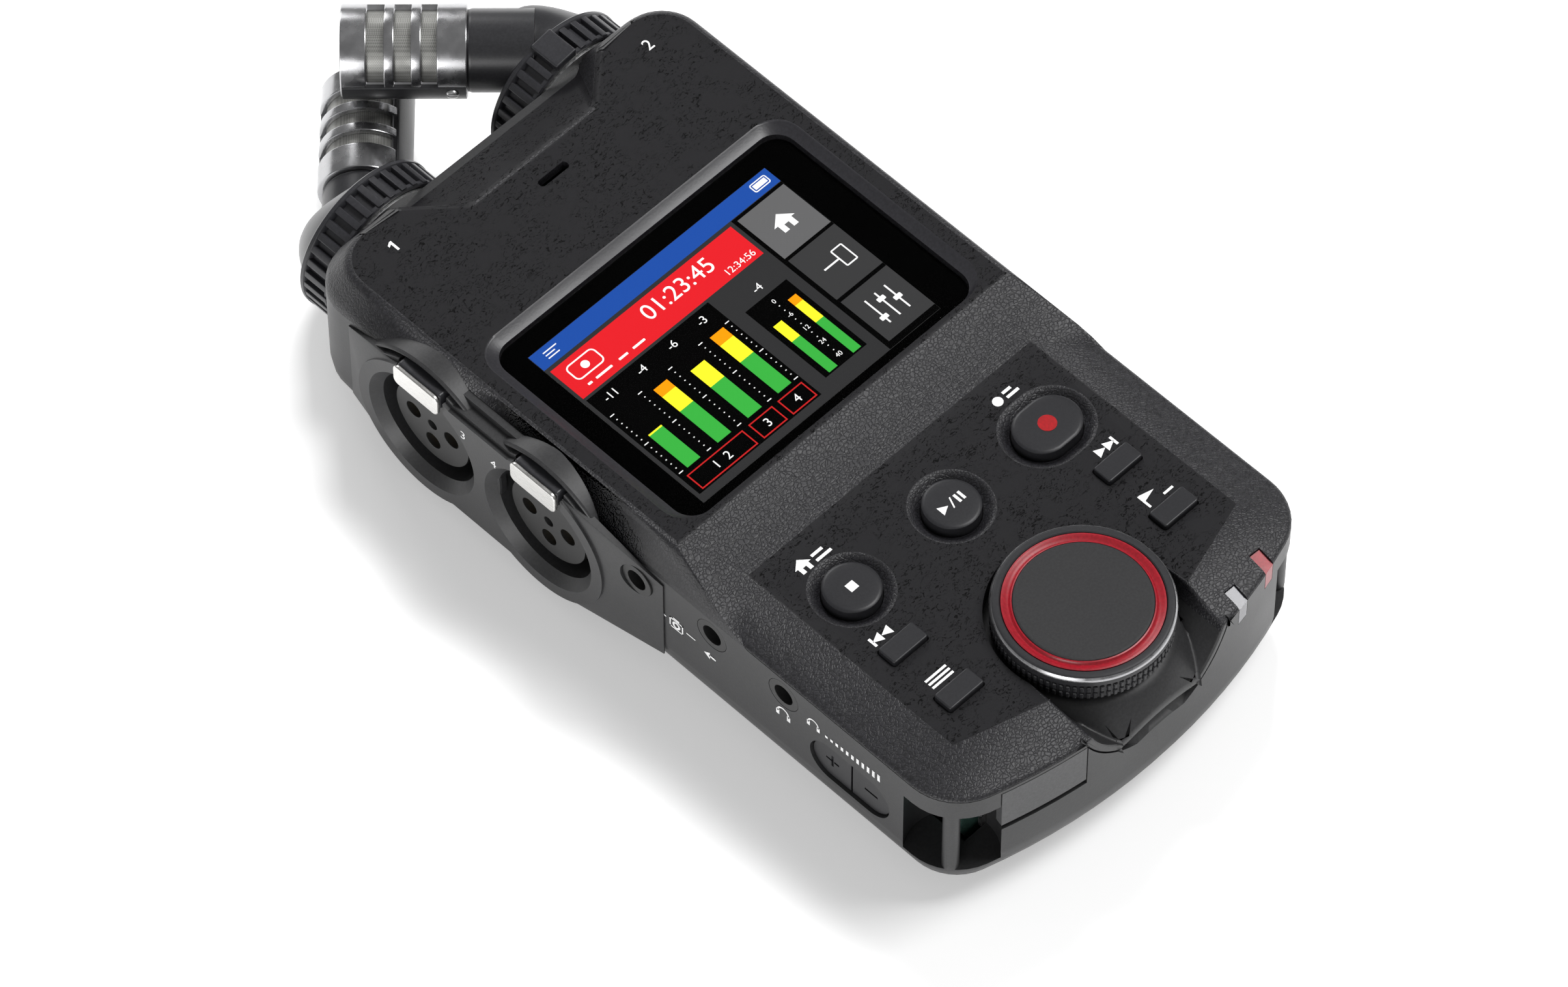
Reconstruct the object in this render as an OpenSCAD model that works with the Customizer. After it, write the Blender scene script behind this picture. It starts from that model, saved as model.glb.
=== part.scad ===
// Portable field recorder: a hand-held casing with a screen, two turning microphones,
// a thumb wheel, transport buttons and two 3-pin sockets on its left side.
// The origin is the mouth of the tripod thread on the back. +Z is the way the screen
// faces, +Y points to the microphones and +X is the right side.

/* [Casing] */
// Width over the side walls
body_w = 74.8; // [73:0.2:78]
// Length from the microphone end to the rounded bottom end
body_l = 140; // [138:0.5:146]
// Height of the seam between the two covers
seam_z = 26; // [25.6:0.1:26.4]
// Height of the button panel
panel_z = 28.8; // [28.6:0.1:29.2]
// Height of the deck around the screen
deck_z = 32; // [31.8:0.1:32.6]
// Wall thickness of both covers
wall = 1.8; // [1.5:0.1:2.2]
// Rounding of the back's long edges
back_r = 10; // [8:0.5:11]
// Radius of the long curve of the bottom end
end_r = 102; // [90:1:130]

/* [Display] */
// Width of the cover glass
glass_w = 59.5; // [57:0.5:60]
// Length of the cover glass
glass_l = 42; // [40:0.5:43]
// Middle of the cover glass, from the origin
glass_y = 16.9; // [16:0.1:17.5]
// Width of the lit area
lcd_w = 48.96; // [44:0.1:52]
// Length of the lit area
lcd_l = 36.72; // [34:0.1:38]

/* [Controls] */
// Radius of the round buttons
round_r = 4.5; // [4:0.1:5]
// Distance from the middle button to each side button
round_x = 20.6; // [19:0.1:21.5]
// Place of the row of round buttons
round_y = -27.6; // [-28.5:0.1:-26.5]
// Extra width of the record button
record_extra = 2.4; // [0:0.2:3]
// Width of a small key
key_w = 7; // [6:0.1:7.4]
// Length of a small key
key_l = 3.5; // [3:0.1:4]
// Distance from the middle to the small keys
key_x = 22.3; // [21:0.1:22.6]
// Places of the two rows of small keys
key_rows = [-39.6, -50.8];
// Radius of the thumb wheel
wheel_r = 13.6; // [12.5:0.1:13.8]
// Place of the thumb wheel
wheel_y = -54; // [-54.5:0.1:-53.5]

/* [Sockets] */
// Places of the two 3-pin sockets
xlr_ys = [42.8, 18.2];
// Height of the sockets' axes
xlr_z = 16.5; // [16.2:0.1:16.8]
// Bore that takes the plug's shell
xlr_bore_r = 9.75; // [9.6:0.05:9.9]
// Radius of the contact insert
xlr_insert_r = 7.7; // [7.5:0.05:7.9]
// Places of the three 3.5 mm jacks
jack_ys = [-1.2, -15.8, -30.4];
// Height of the jacks
jack_z = 22.3; // [21.8:0.1:22.6]
// Radius of a jack's bore
jack_r = 1.8; // [1.75:0.05:1.85]

/* [Microphones] */
// Distance from the middle to each microphone's turning axis
mic_x = 19.8; // [19.2:0.1:20.4]
// Height of the turning axes
mic_z = 16; // [15.8:0.1:16.2]
// Radius of the toothed collar
collar_r = 13.2; // [12.6:0.1:13.6]
// Height of a microphone above or below its turning axis
mic_rise = 7.5; // [7.5:0.1:8]
// Radius of a microphone housing
mic_r = 7.15; // [6.8:0.05:7.15]
// Distance from the turning axis to the base of the housing
mic_base = 12.1; // [11.8:0.1:13]
// Length of a microphone housing
mic_l = 19.2; // [18:0.2:21]

/* [Battery bay] */
// Radius of an AA cell
cell_r = 7.1; // [6.9:0.05:7.2]
// Length of an AA cell without its button
cell_l = 49; // [48.5:0.1:49.4]
// Thickness of the battery door
door_t = 1.8; // [1.6:0.1:2]

/* [Tripod thread] */
// Radius of the 1/4 inch thread
thread_r = 3.175; // [3.1:0.005:3.3]
// Depth of the thread
thread_l = 7; // [6:0.5:8]

/* [Hidden] */
$fn = 48;

half_w = body_w / 2;
end_y = 70 - body_l; // lowest point of the bottom curve
mic_end_y = 70; // flat end under the microphones
end_centre_y = end_y + end_r;
mic_corner_r = 8;
arch_r = 15.2; // arches of the socket housing at the wall
bottom_corner_r = 9.5;
corner_x = half_w - bottom_corner_r;
corner_y = end_centre_y - sqrt(pow(end_r - bottom_corner_r, 2) - pow(corner_x, 2));
strap_pocket_r = 7.1;
strap_pocket_x = 6.2; // from the corner's centre
strap_post_x = 8.1;
strap_post_r = 1.3;
strap_turn = -38; // direction of the strap post from the corner's centre
panel_half_w = 29.4;
glass_top_z = 31;
glass_t = 1.1;
lcd_t = 2.4;
gap = 0.15; // gap around buttons and keys
press = 0.5; // travel of a button
round_top_z = panel_z + 0.9;
board_z = 20.4; // top of the boards
board_t = 1.4;
switch_top_z = panel_z - 5.4;
wheel_top_z = 32;
wheel_low_z = 26.4;
housing_x = -39.6; // outer face of the socket housing
insert_x = -37.4; // front face of the contact inserts
latch_w = 9.4;
latch_low_z = 26.1;
latch_top_z = 30.3;
latch_x = -40.4;
arch_x = -36.8; // front of the arches over the latches
jack_face_x = -half_w;
jack_l = 12;
slot_y = -43.8;
slot_z = 14.6;
slot_l = 16;
slot_h = 8;
card_turn = -12.3; // direction of the card slot from the middle of the end curve
card_w = 14.6;
card_low_z = 16.3;
card_top_z = 25.2;
card_z = 21.5; // middle of the memory card
card_barrel_r = 0.7;
card_hinge_y = 1;
pipe_xs = [25.9, 18.7];
pipe_tops = [-63.6, -65.4];
pipe_w = 2;
pipe_low_z = 22.4;
door_x = 30.2;
door_near_y = -8;
door_far_y = -60;
barrel_r = 1; // hinge barrels of the battery door and the adapter cover
fit = 0.05; // running clearance of a hinge or shaft
cell_z = door_t + 0.4 + cell_r;
screw_points = [[-26, 4.5], [26, 4.5], [-27, 60], [27, 60]];
collar_y = 70.3;
collar_l = 5.8;
arm_y = collar_y + collar_l;
mic_y = 76.7; // where a microphone's axis passes its turning axis
pivot_r = 4.5;
tooth_count = 34;
adapter_y0 = 22;
adapter_y1 = 46;
speaker_y = 48;

// ---------- helpers ----------

function arc(c, r, a0, a1, n) =
    [for (i = [0:n]) c + r * [cos(a0 + (a1 - a0) * i / n), sin(a0 + (a1 - a0) * i / n)]];

// Casing outline, drawn in by d all round
function outline(d, top = mic_end_y, n = 8) =
    let (w = half_w - d, mr = max(mic_corner_r - d, 1), br = max(bottom_corner_r - d, 1),
        er = end_r - d, bx = w - br, by = end_centre_y - sqrt(pow(er - br, 2) - bx * bx),
        turn = atan2(by - end_centre_y, bx), my = top - d - mr)
    concat(arc([w - mr, my], mr, 0, 90, n), arc([mr - w, my], mr, 90, 180, n),
        arc([-bx, by], br, 180, 180 - turn, n), arc([0, end_centre_y], er, 180 - turn, 360 + turn, 2 * n),
        arc([bx, by], br, turn, 0, n));

// Outline of the screen block: a rectangle with two round corners at the microphone end
function block_outline(w, low, top, r, n = 8) =
    concat(arc([w - r, top - r], r, 0, 90, n), arc([r - w, top - r], r, 90, 180, n),
        [[-w, low], [w, low]]);

module slab(x0, x1, y0, y1, z0, z1) translate([x0, y0, z0]) cube([x1 - x0, y1 - y0, z1 - z0]);
module rod_x(r, x0, x1, y, z) translate([x0, y, z]) rotate([0, 90, 0]) cylinder(r = r, h = x1 - x0);
module rod_y(r, y0, y1, x, z) translate([x, y0, z]) rotate([-90, 0, 0]) cylinder(r = r, h = y1 - y0);
module rod_z(r, z0, z1, x, y) translate([x, y, z0]) cylinder(r = r, h = z1 - z0);
module layer(points, z, t = 0.02) translate([0, 0, z]) linear_extrude(t) polygon(points);

module round_rect(w, l, r) {
    square([w - 2 * r, l], center = true);
    square([w, l - 2 * r], center = true);
    for (x = [-1, 1], y = [-1, 1]) translate([x * (w / 2 - r), y * (l / 2 - r)]) circle(r);
}

module stadium(l, h) {
    square([l - h, h], center = true);
    for (x = [-1, 1]) translate([x * (l - h) / 2, 0]) circle(h / 2);
}

module pill(r, extra, z0, z1) {
    translate([0, 0, z0]) linear_extrude(z1 - z0) {
        for (x = [-1, 1]) translate([x * extra / 2, 0]) circle(r);
        if (extra > 0) square([extra, 2 * r], center = true);
    }
}

// ---------- casing shapes ----------

// The raised block that carries the screen, drawn in by d and lowered by t
module screen_block(d = 0, t = 0) {
    hull() {
        layer(block_outline(half_w - d, -23 + d, mic_end_y - d, mic_corner_r), seam_z - t);
        layer(block_outline(half_w - 0.5 - d, -17.7 + d, 69.6 - d, mic_corner_r), seam_z + 2 - t);
        layer(block_outline(half_w - 2.3 - d, -7.6 + d, 67.6 - d, 7), deck_z - 0.8 - t);
        layer(block_outline(half_w - 3.2 - d, -5.9 + d, 66.8 - d, 6.4), deck_z - 0.02 - t);
    }
}

// The lower block that carries the buttons, with its sloping sides
module panel_block(d = 0, t = 0) {
    hull() {
        layer([for (p = outline(d)) [p[0], min(p[1], 0)]], seam_z - t);
        layer([[-panel_half_w + d, 0], [-panel_half_w + d, -56.4 + d], [-13.4, -61.2 + d],
            [13.4, -61.2 + d], [panel_half_w - d, -56.4 + d], [panel_half_w - d, 0]],
            panel_z - 0.02 - t);
    }
}

// The sloping recess at the microphone end
module end_recess(d = 0) {
    hull() {
        translate([0, 59.4 - d, 0]) rotate([-90, 0, 0]) linear_extrude(0.02)
            polygon([[-12.6, -deck_z + d], [12.6, -deck_z + d], [13.6, -deck_z - 2], [-13.6, -deck_z - 2]]);
        translate([0, 72, 0]) rotate([-90, 0, 0]) linear_extrude(0.02)
            polygon([[-20.5 - d, -23.9 + d], [20.5 + d, -23.9 + d], [28 + d, -deck_z - 2], [-28 - d, -deck_z - 2]]);
    }
}

// The dish that lets a thumb reach the wheel over the bottom end
module wheel_dish(r, low) {
    intersection() {
        rod_y(r, end_y - 4, wheel_y + 2, 0, deck_z);
        translate([0, wheel_y, 0]) rotate_extrude()
            polygon([[0, low], [11, low], [17, low - 7.2], [32, low - 7.2], [32, 40], [0, 40]]);
    }
}

// The wheel's well and dish, grown by the thickness of their walls
module dish_zone(extra = 0) {
    wheel_dish(15.9 + extra, 23.6 - extra);
    rod_z(15.8 + extra, 23.6 - extra, 36, 0, wheel_y);
}

module dish_skin() {
    intersection() {
        translate([0, 0, 12]) linear_extrude(panel_z - 13) polygon(outline(0));
        dish_zone();
    }
}

module rear_outer(d = 0) {
    hull() {
        for (a = [0:15:90])
            layer(outline(d + back_r * (1 - cos(a))), d + back_r * (1 - sin(a)), 0.05);
    }
    translate([0, 0, d + back_r]) linear_extrude(seam_z - back_r - d) polygon(outline(d));
}

// Outline of the socket housing in the plane of the side wall: X is along the body
module housing_outline(r) {
    for (y = xlr_ys) translate([y, xlr_z]) circle(r);
    translate([(xlr_ys[0] + xlr_ys[1]) / 2, xlr_z])
        square([xlr_ys[0] - xlr_ys[1], 2 * r - 3], center = true);
}

// Room for a latch and its travel
module latch_slot(y, x1) slab(-60, x1, y - latch_w / 2 - 0.2, y + latch_w / 2 + 0.2,
    latch_low_z - 0.2, latch_top_z + 0.2);

// Turns a shape drawn along the body and upwards to face the left side
module from_side(x0, x1) translate([x0, 0, 0]) rotate([90, 0, 90]) linear_extrude(x1 - x0) children();

module at_corners() for (s = [0, 1]) mirror([s, 0, 0]) translate([corner_x, corner_y, 0])
    rotate([0, 0, strap_turn]) children();

module at_card() translate([0, end_centre_y, 0]) rotate([0, 0, card_turn]) translate([0, -end_r, 0]) children();

module light_pipe_slot(i, extra = 0) {
    slab(pipe_xs[i] - pipe_w / 2 - extra, pipe_xs[i] + pipe_w / 2 + extra, -80, pipe_tops[i] + extra,
        pipe_low_z - extra, 30);
}

module side_openings(extra = 0) {
    from_side(-half_w - 6, -half_w + 5) housing_outline(arch_r + 0.1 + extra);
    for (y = jack_ys) rod_x(3 + extra, -half_w - 1, -half_w + 4, y, jack_z);
    from_side(-half_w - 1, -half_w + 3) translate([slot_y, slot_z]) stadium(slot_l, slot_h);
    slab(half_w - 3, half_w + 1, -24, -12, 11, 17); // power slider
    slab(half_w - 3, half_w + 1, 4, 13.2, 12.4, 15.8); // USB socket
    slab(half_w - 3, half_w + 1, adapter_y0, adapter_y1, 9, 21);
}

// ---------- covers ----------

module front_cover() color([0.16, 0.16, 0.17]) {
    difference() {
        union() {
            difference() {
                union() { screen_block(); panel_block(); }
                difference() {
                    union() { screen_block(2.2, wall); panel_block(2.2, wall); }
                    end_recess(wall);
                    dish_skin();
                }
            }
            dish_skin();
            translate([0, glass_y, glass_top_z - glass_t - 1.5]) linear_extrude(2)
                square([glass_w + 3.1, glass_l + 3.1], center = true); // ledge under the glass
        }
        end_recess();
        wheel_dish(14.5, 25.2);
        rod_z(14.5, 25.2, 40, 0, wheel_y);
        rod_z(5, 20, 40, 0, wheel_y);
        translate([0, glass_y, glass_top_z - glass_t - 0.05]) linear_extrude(9)
            round_rect(glass_w + 0.2, glass_l + 0.2, 3.6);
        translate([-0.9, glass_y - 0.9, 20]) linear_extrude(15)
            square([lcd_w + 3.3, lcd_l + 2.9], center = true);
        hull() {
            translate([0, glass_y, glass_top_z]) linear_extrude(0.01) round_rect(glass_w + 0.2, glass_l + 0.2, 3.6);
            translate([0, glass_y + 0.6, deck_z]) linear_extrude(0.01) round_rect(glass_w + 3.4, glass_l + 2.2, 4.6);
        }
        for (x = [-1, 0]) translate([x * round_x, round_y, 0]) {
            rod_z(round_r + gap, 20, 40, 0, 0);
            translate([0, 0, panel_z - 1]) cylinder(r1 = round_r + gap, r2 = 6.2, h = 1.02);
        }
        translate([round_x - 0.6, round_y, 0]) {
            pill(round_r + gap, record_extra, 20, 40);
            for (x = [-1, 1]) translate([x * record_extra / 2, 0, panel_z - 1])
                cylinder(r1 = round_r + gap, r2 = 6.2, h = 1.02);
        }
        for (x = [-1, 1], y = key_rows)
            slab(x * key_x - key_w / 2 - gap, x * key_x + key_w / 2 + gap, y - key_l / 2 - gap,
                y + key_l / 2 + gap, 20, 40);
        slab(-3.2, 2.6, 54, 55.3, 20, 40); // indicator window
        from_side(-half_w - 6, -half_w + 5) housing_outline(arch_r + 0.1);
        for (y = xlr_ys) latch_slot(y, -32.4);
        for (i = [0, 1]) light_pipe_slot(i, 0.1);
        slab(-half_w, half_w, -90, 90, 0, 15);
    }
}

module rear_cover() color([0.2, 0.2, 0.21]) {
    difference() {
        union() {
            difference() {
                rear_outer();
                rear_outer(wall);
                slab(-half_w + wall, half_w - wall, -50, 60, seam_z - 4, seam_z + 1);
            }
            intersection() {
                rear_outer();
                union() {
                    at_corners() rod_z(8.05, 5, 24, strap_pocket_x, 0);
                    slab(-door_x - 1.4, door_x + 1.4, door_far_y - 1.4, door_near_y + 1.4, 0, 18.2);
                    at_card() slab(-8.4, 8.4, 0.5, 3.5, 12, 25);
                    for (p = screw_points) rod_z(2.4, 0, 23, p[0], p[1]);
                }
            }
            rod_z(8, 0.5, 11, 0, 0);
        }
        slab(-door_x, door_x, door_far_y, door_near_y, -1, 17);
        slab(-door_x - 0.7, door_x + 0.7, door_far_y - 0.7, door_near_y - 2 * barrel_r + 0.1, -1, door_t + 0.05);
        rod_x(barrel_r + fit, -door_x + 1.9, door_x - 1.9, door_near_y - barrel_r, barrel_r);
        slab(-door_x + 1.9, door_x - 1.9, door_near_y - 2 * barrel_r, door_near_y - barrel_r + 0.5, -1, barrel_r);
        rod_z(6.1, -1, 9, 0, 0);
        side_openings();
        at_card() slab(-card_w / 2 - 0.2, card_w / 2 + 0.2, -2, 6, card_low_z - 0.4, card_top_z + 0.2);
        intersection() {
            dish_zone(0.1);
            slab(-20, 20, -80, -30, 10, seam_z + 1);
        }
        for (i = [0, 1]) light_pipe_slot(i, 0.1);
        at_corners() difference() {
            rod_z(strap_pocket_r, 8, 22, strap_pocket_x, 0);
            rod_z(strap_post_r, 8, 22, strap_post_x, 0);
        }
        for (s = [-1, 1]) rod_y(pivot_r, 60, 75, s * mic_x, mic_z);
        for (x = [-9:3:9]) slab(x - 0.6, x + 0.6, speaker_y - 6, speaker_y + 6, -1, wall + 1);
        at_card() slab(-7.2, 7.2, 0, 15.4, card_z - 1.6, card_z + 1.6);
        for (p = screw_points) {
            rod_z(1.2, -1, 30, p[0], p[1]);
            rod_z(2.1, -1, 2.6, p[0], p[1]);
        }
    }
}

// The wavy block round both 3-pin sockets
module xlr_housing() color([0.22, 0.22, 0.23]) {
    difference() {
        union() {
            from_side(arch_x, -half_w + 4.9) housing_outline(arch_r);
            from_side(housing_x + 0.8, arch_x + 0.1) housing_outline(14.15);
            from_side(housing_x, arch_x + 0.1) housing_outline(13.4);
            hull() {
                rod_x(13.4, housing_x + 0.4, -half_w - 0.05, xlr_ys[1], xlr_z);
                slab(-half_w - 0.25, -half_w - 0.05, -6, 0, 7.5, 25);
            }
            hull() {
                rod_x(13.4, housing_x + 0.4, -half_w - 0.05, xlr_ys[0], xlr_z);
                slab(-half_w - 0.25, -half_w - 0.05, 58, 60, 8, 25);
            }
        }
        for (y = xlr_ys) {
            rod_x(xlr_bore_r, housing_x - 1, -half_w + 6, y, xlr_z);
            translate([housing_x - 0.01, y, xlr_z]) rotate([0, 90, 0])
                cylinder(r1 = 11.2, r2 = xlr_bore_r, h = 1.6);
            latch_slot(y, 0);
            slab(-50, arch_x, y - latch_w / 2 - 0.3, y + latch_w / 2 + 0.3, latch_low_z, 40);
        }
        for (y = jack_ys) rod_x(3, -50, 0, y, jack_z);
    }
}

// ---------- display ----------

module display_glass() color([0.02, 0.02, 0.02])
    translate([0, glass_y, glass_top_z - glass_t]) linear_extrude(glass_t) round_rect(glass_w, glass_l, 3.5);

module lcd_panel() color([0.1, 0.2, 0.6])
    translate([-0.9, glass_y - 0.9, glass_top_z - glass_t - lcd_t]) linear_extrude(lcd_t)
        square([lcd_w + 3, lcd_l + 2.6], center = true);

// ---------- electronics ----------

module main_board() color([0.05, 0.3, 0.15]) {
    difference() {
        slab(-12, 34, -4, 62, board_z - board_t, board_z);
        for (p = screw_points) rod_z(2.7, 10, 30, p[0], p[1]);
        slab(30, 40, 20, 50, 10, 30);
    }
    slab(2, 14, 20, 32, board_z, board_z + 1.2); // processor
    slab(16, 25, 38, 45, board_z, board_z + 1.4); // converter
    slab(-10, 20, 2, 7, board_z, board_z + 3); // screen connector
}

module key_board() color([0.05, 0.3, 0.15])
    difference() {
        slab(-26, 30, wheel_y - 0.5, -6, board_z - 0.4 - board_t, board_z - 0.4);
        at_corners() rod_z(8.4, 10, 30, strap_pocket_x, 0);
        slab(-34, -23.3, -34.6, 0, 10, 22); // room for the jacks
    }

module tact_switches() color([0.75, 0.75, 0.72]) {
    for (x = [-1, 0, 1]) rod_z(2.6, board_z - 0.4, switch_top_z, x * (round_x - (x > 0 ? 0.6 : 0)), round_y);
    for (x = [-1, 1], y = key_rows) rod_z(1.4, board_z - 0.4, switch_top_z, x * key_x, y);
}

// ---------- thumb wheel ----------

module jog_wheel() color([0.12, 0.12, 0.13])
    translate([0, wheel_y, 0]) difference() {
        union() {
            rotate_extrude() polygon([[0, wheel_low_z], [wheel_r - 0.5, wheel_low_z], [wheel_r - 0.2, wheel_low_z + 0.4],
                [wheel_r - 0.2, wheel_low_z + 3.6], [wheel_r, wheel_low_z + 3.9], [wheel_r, wheel_top_z - 0.7],
                [wheel_r - 0.7, wheel_top_z - 0.1], [0, wheel_top_z - 0.1]]);
            for (i = [0:47]) rotate(i * 7.5) slab(wheel_r - 0.6, wheel_r, -0.5, 0.5, wheel_low_z + 0.6, wheel_low_z + 3.4);
        }
        rotate_extrude() polygon([[9.6, wheel_top_z - 1.1], [12, wheel_top_z - 1.1], [12, wheel_top_z + 1], [9.6, wheel_top_z + 1]]);
        translate([0, 0, wheel_top_z - 0.8]) cylinder(r = 10, h = 2);
        translate([0, 0, wheel_low_z - 1]) cylinder(r = 3, h = 4);
    }

module jog_ring() color([0.75, 0.08, 0.1])
    translate([0, wheel_y, 0]) rotate_extrude()
        polygon([[10.35, wheel_top_z - 1.1], [11.95, wheel_top_z - 1.1], [11.95, wheel_top_z - 0.35], [10.35, wheel_top_z - 0.35]]);

module jog_cap() color([0.14, 0.14, 0.15])
    translate([0, wheel_y, 0]) rotate_extrude()
        polygon([[0, wheel_top_z - 0.8], [10.3, wheel_top_z - 0.8], [10.3, wheel_top_z - 0.2], [10, wheel_top_z], [0, wheel_top_z]]);

module rotary_encoder() color([0.6, 0.6, 0.62])
    difference() {
        union() {
            slab(-5.5, 5.5, wheel_y - 0.4, wheel_y + 5.5, board_z - 0.4, 22.9);
            slab(-5.5, 5.5, wheel_y - 5.5, wheel_y + 5.5, board_z + 0.6, 22.9);
            rod_z(4, 22.9, 26, 0, wheel_y);
        }
        rod_z(3, 21.4, 40, 0, wheel_y);
    }

module encoder_shaft() color([0.7, 0.7, 0.72]) rod_z(2.95, 21.5, wheel_low_z + 2.6, 0, wheel_y);

// ---------- buttons ----------

module button_body(extra) {
    pill(round_r, extra, panel_z - 3.6, round_top_z - 0.25);
    pill(round_r - 0.25, extra, round_top_z - 0.25, round_top_z);
    pill(round_r + 0.8, extra, panel_z - 3.8, panel_z - 2.6);
    rod_z(1, panel_z - 4.8, panel_z - 3.8, 0, 0);
}

module stop_button() color([0.15, 0.15, 0.16]) translate([-round_x, round_y, 0]) button_body(0);
module play_button() color([0.15, 0.15, 0.16]) translate([0, round_y, 0]) button_body(0);
module record_button() color([0.15, 0.15, 0.16]) translate([round_x - 0.6, round_y, 0]) button_body(record_extra);

module small_key(x, row) color([0.15, 0.15, 0.16]) translate([x, key_rows[row], 0]) {
    slab(-key_w / 2, key_w / 2, -key_l / 2, key_l / 2, panel_z - 3.6, panel_z + 0.9);
    slab(-key_w / 2 - 0.7, key_w / 2 + 0.7, -key_l / 2 - 0.6, key_l / 2 + 0.6, panel_z - 3.8, panel_z - 2.6);
    rod_z(0.9, panel_z - 4.8, panel_z - 3.8, 0, 0);
}

module previous_button() small_key(-key_x, 0);
module next_button() small_key(key_x, 0);
module menu_button() small_key(-key_x, 1);
module mark_button() small_key(key_x, 1);

// One half of the volume pair: s is 1 towards the microphones
module volume_key(s) color([0.17, 0.17, 0.18]) {
    from_side(-half_w + 0.5, -half_w + 2.6) translate([slot_y, slot_z]) intersection() {
        stadium(slot_l - 0.5, slot_h - 0.5);
        translate([s > 0 ? 0.15 : -slot_l, -slot_h]) square([slot_l - 0.15, 2 * slot_h]);
    }
    from_side(-half_w + 2.6, -half_w + 3.6) translate([slot_y + s * (slot_l / 4 + 0.1), slot_z])
        square([slot_l / 2, slot_h + 1.6], center = true);
}

module volume_up_key() volume_key(1);
module volume_down_key() volume_key(-1);

// ---------- sockets ----------

module xlr_socket(i) color([0.1, 0.1, 0.1]) {
    y = xlr_ys[i];
    difference() {
        union() {
            rod_x(10.9, -half_w + 4.95, -17, y, xlr_z);
            rod_x(xlr_insert_r, insert_x, -17, y, xlr_z);
        }
        difference() {
            rod_x(xlr_bore_r, -50, -19, y, xlr_z);
            rod_x(xlr_insert_r, insert_x, -17, y, xlr_z);
        }
        for (a = [0, 180, 270]) rod_x(1.45, -50, -19.5, y + 4 * cos(a), xlr_z + 4 * sin(a));
        slab(-50, insert_x + 0.9, y - 0.8, y + 0.8, xlr_z + 5.6, xlr_z + 9);
        rod_x(0.9, -50, insert_x + 1.2, y, xlr_z);
        slab(-50, -22, y - latch_w / 2 - gap, y + latch_w / 2 + gap, xlr_z + 8.4, xlr_z + 20);
    }
}

module xlr_contacts(i) color([0.8, 0.65, 0.3])
    for (a = [0, 180, 270]) difference() {
        rod_x(1.45, insert_x + 1.5, -19.5, xlr_ys[i] + 4 * cos(a), xlr_z + 4 * sin(a));
        rod_x(0.95, insert_x + 1, -22, xlr_ys[i] + 4 * cos(a), xlr_z + 4 * sin(a));
    }

// The push plate over a socket, with the catch that holds the plug's shell
module xlr_latch(i) color([0.75, 0.75, 0.76]) {
    y = xlr_ys[i];
    slab(latch_x, latch_x + 0.7, y - latch_w / 2, y + latch_w / 2, latch_low_z, latch_top_z);
    slab(latch_x + 0.7, -35.2, y - latch_w / 2, y + latch_w / 2, latch_top_z - 1.2, latch_top_z - 0.1);
    slab(latch_x + 0.7, -31, y - latch_w / 2, y + latch_w / 2, latch_low_z + 0.8, latch_low_z + 1.6);
    slab(-33, -31, y - 2, y + 2, latch_low_z - 0.5, latch_low_z + 0.8);
}

module xlr_socket_3() xlr_socket(0);
module xlr_socket_4() xlr_socket(1);
module xlr_contacts_3() xlr_contacts(0);
module xlr_contacts_4() xlr_contacts(1);
module xlr_latch_3() xlr_latch(0);
module xlr_latch_4() xlr_latch(1);

module jack(i) color([0.08, 0.08, 0.08])
    difference() {
        union() {
            rod_x(2.95, jack_face_x - (i == 0 ? 0.9 : 0), jack_face_x + 4, jack_ys[i], jack_z);
            slab(jack_face_x + 4, jack_face_x + 14, jack_ys[i] - 3.2, jack_ys[i] + 3.2, jack_z - 2.2, jack_z + 2.1);
        }
        rod_x(jack_r, -50, jack_face_x + jack_l, jack_ys[i], jack_z);
    }

module mic_line_jack() jack(0);
module line_out_jack() jack(1);
module headphone_jack() jack(2);

// ---------- memory card ----------

// A flap of the bottom wall that swings down on its outer lower edge
module card_cover() color([0.42, 0.42, 0.43]) {
    intersection() {
        translate([0, end_centre_y, 0]) difference() {
            cylinder(r = end_r, h = 40, $fn = 96);
            translate([0, 0, -1]) cylinder(r = end_r - 1.4, h = 50, $fn = 96);
        }
        at_card() slab(-card_w / 2, card_w / 2, -2, 6, card_low_z + card_barrel_r, card_top_z);
    }
    at_card() rod_x(card_barrel_r, -card_w / 2 + 1, card_w / 2 - 1, card_hinge_y, card_low_z + card_barrel_r);
}

module card_socket() color([0.7, 0.7, 0.7])
    at_card() difference() {
        slab(-7, 5.8, 2.6, 12.4, card_z - 1.4, card_z + 1.4);
        slab(-6.3, 5.2, 1, 11.8, card_z - 0.6, card_z + 0.6);
    }

module memory_card() color([0.05, 0.05, 0.08]) at_card() slab(-6, 5, 1.9, 11.7, card_z - 0.4, card_z + 0.4);

// ---------- light pipes ----------

module light_pipe(i) {
    intersection() {
        light_pipe_slot(i);
        difference() {
            union() {
                panel_block();
                translate([0, 0, 20]) linear_extrude(seam_z - 20) polygon(outline(0));
            }
            union() {
                panel_block(2.2, wall);
                translate([0, 0, 10]) linear_extrude(seam_z - wall - 10) polygon(outline(wall));
            }
        }
    }
}

module record_light_pipe() color([0.9, 0.15, 0.2]) light_pipe(0);
module peak_light_pipe() color([0.8, 0.8, 0.82]) light_pipe(1);

// ---------- battery bay ----------

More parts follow.
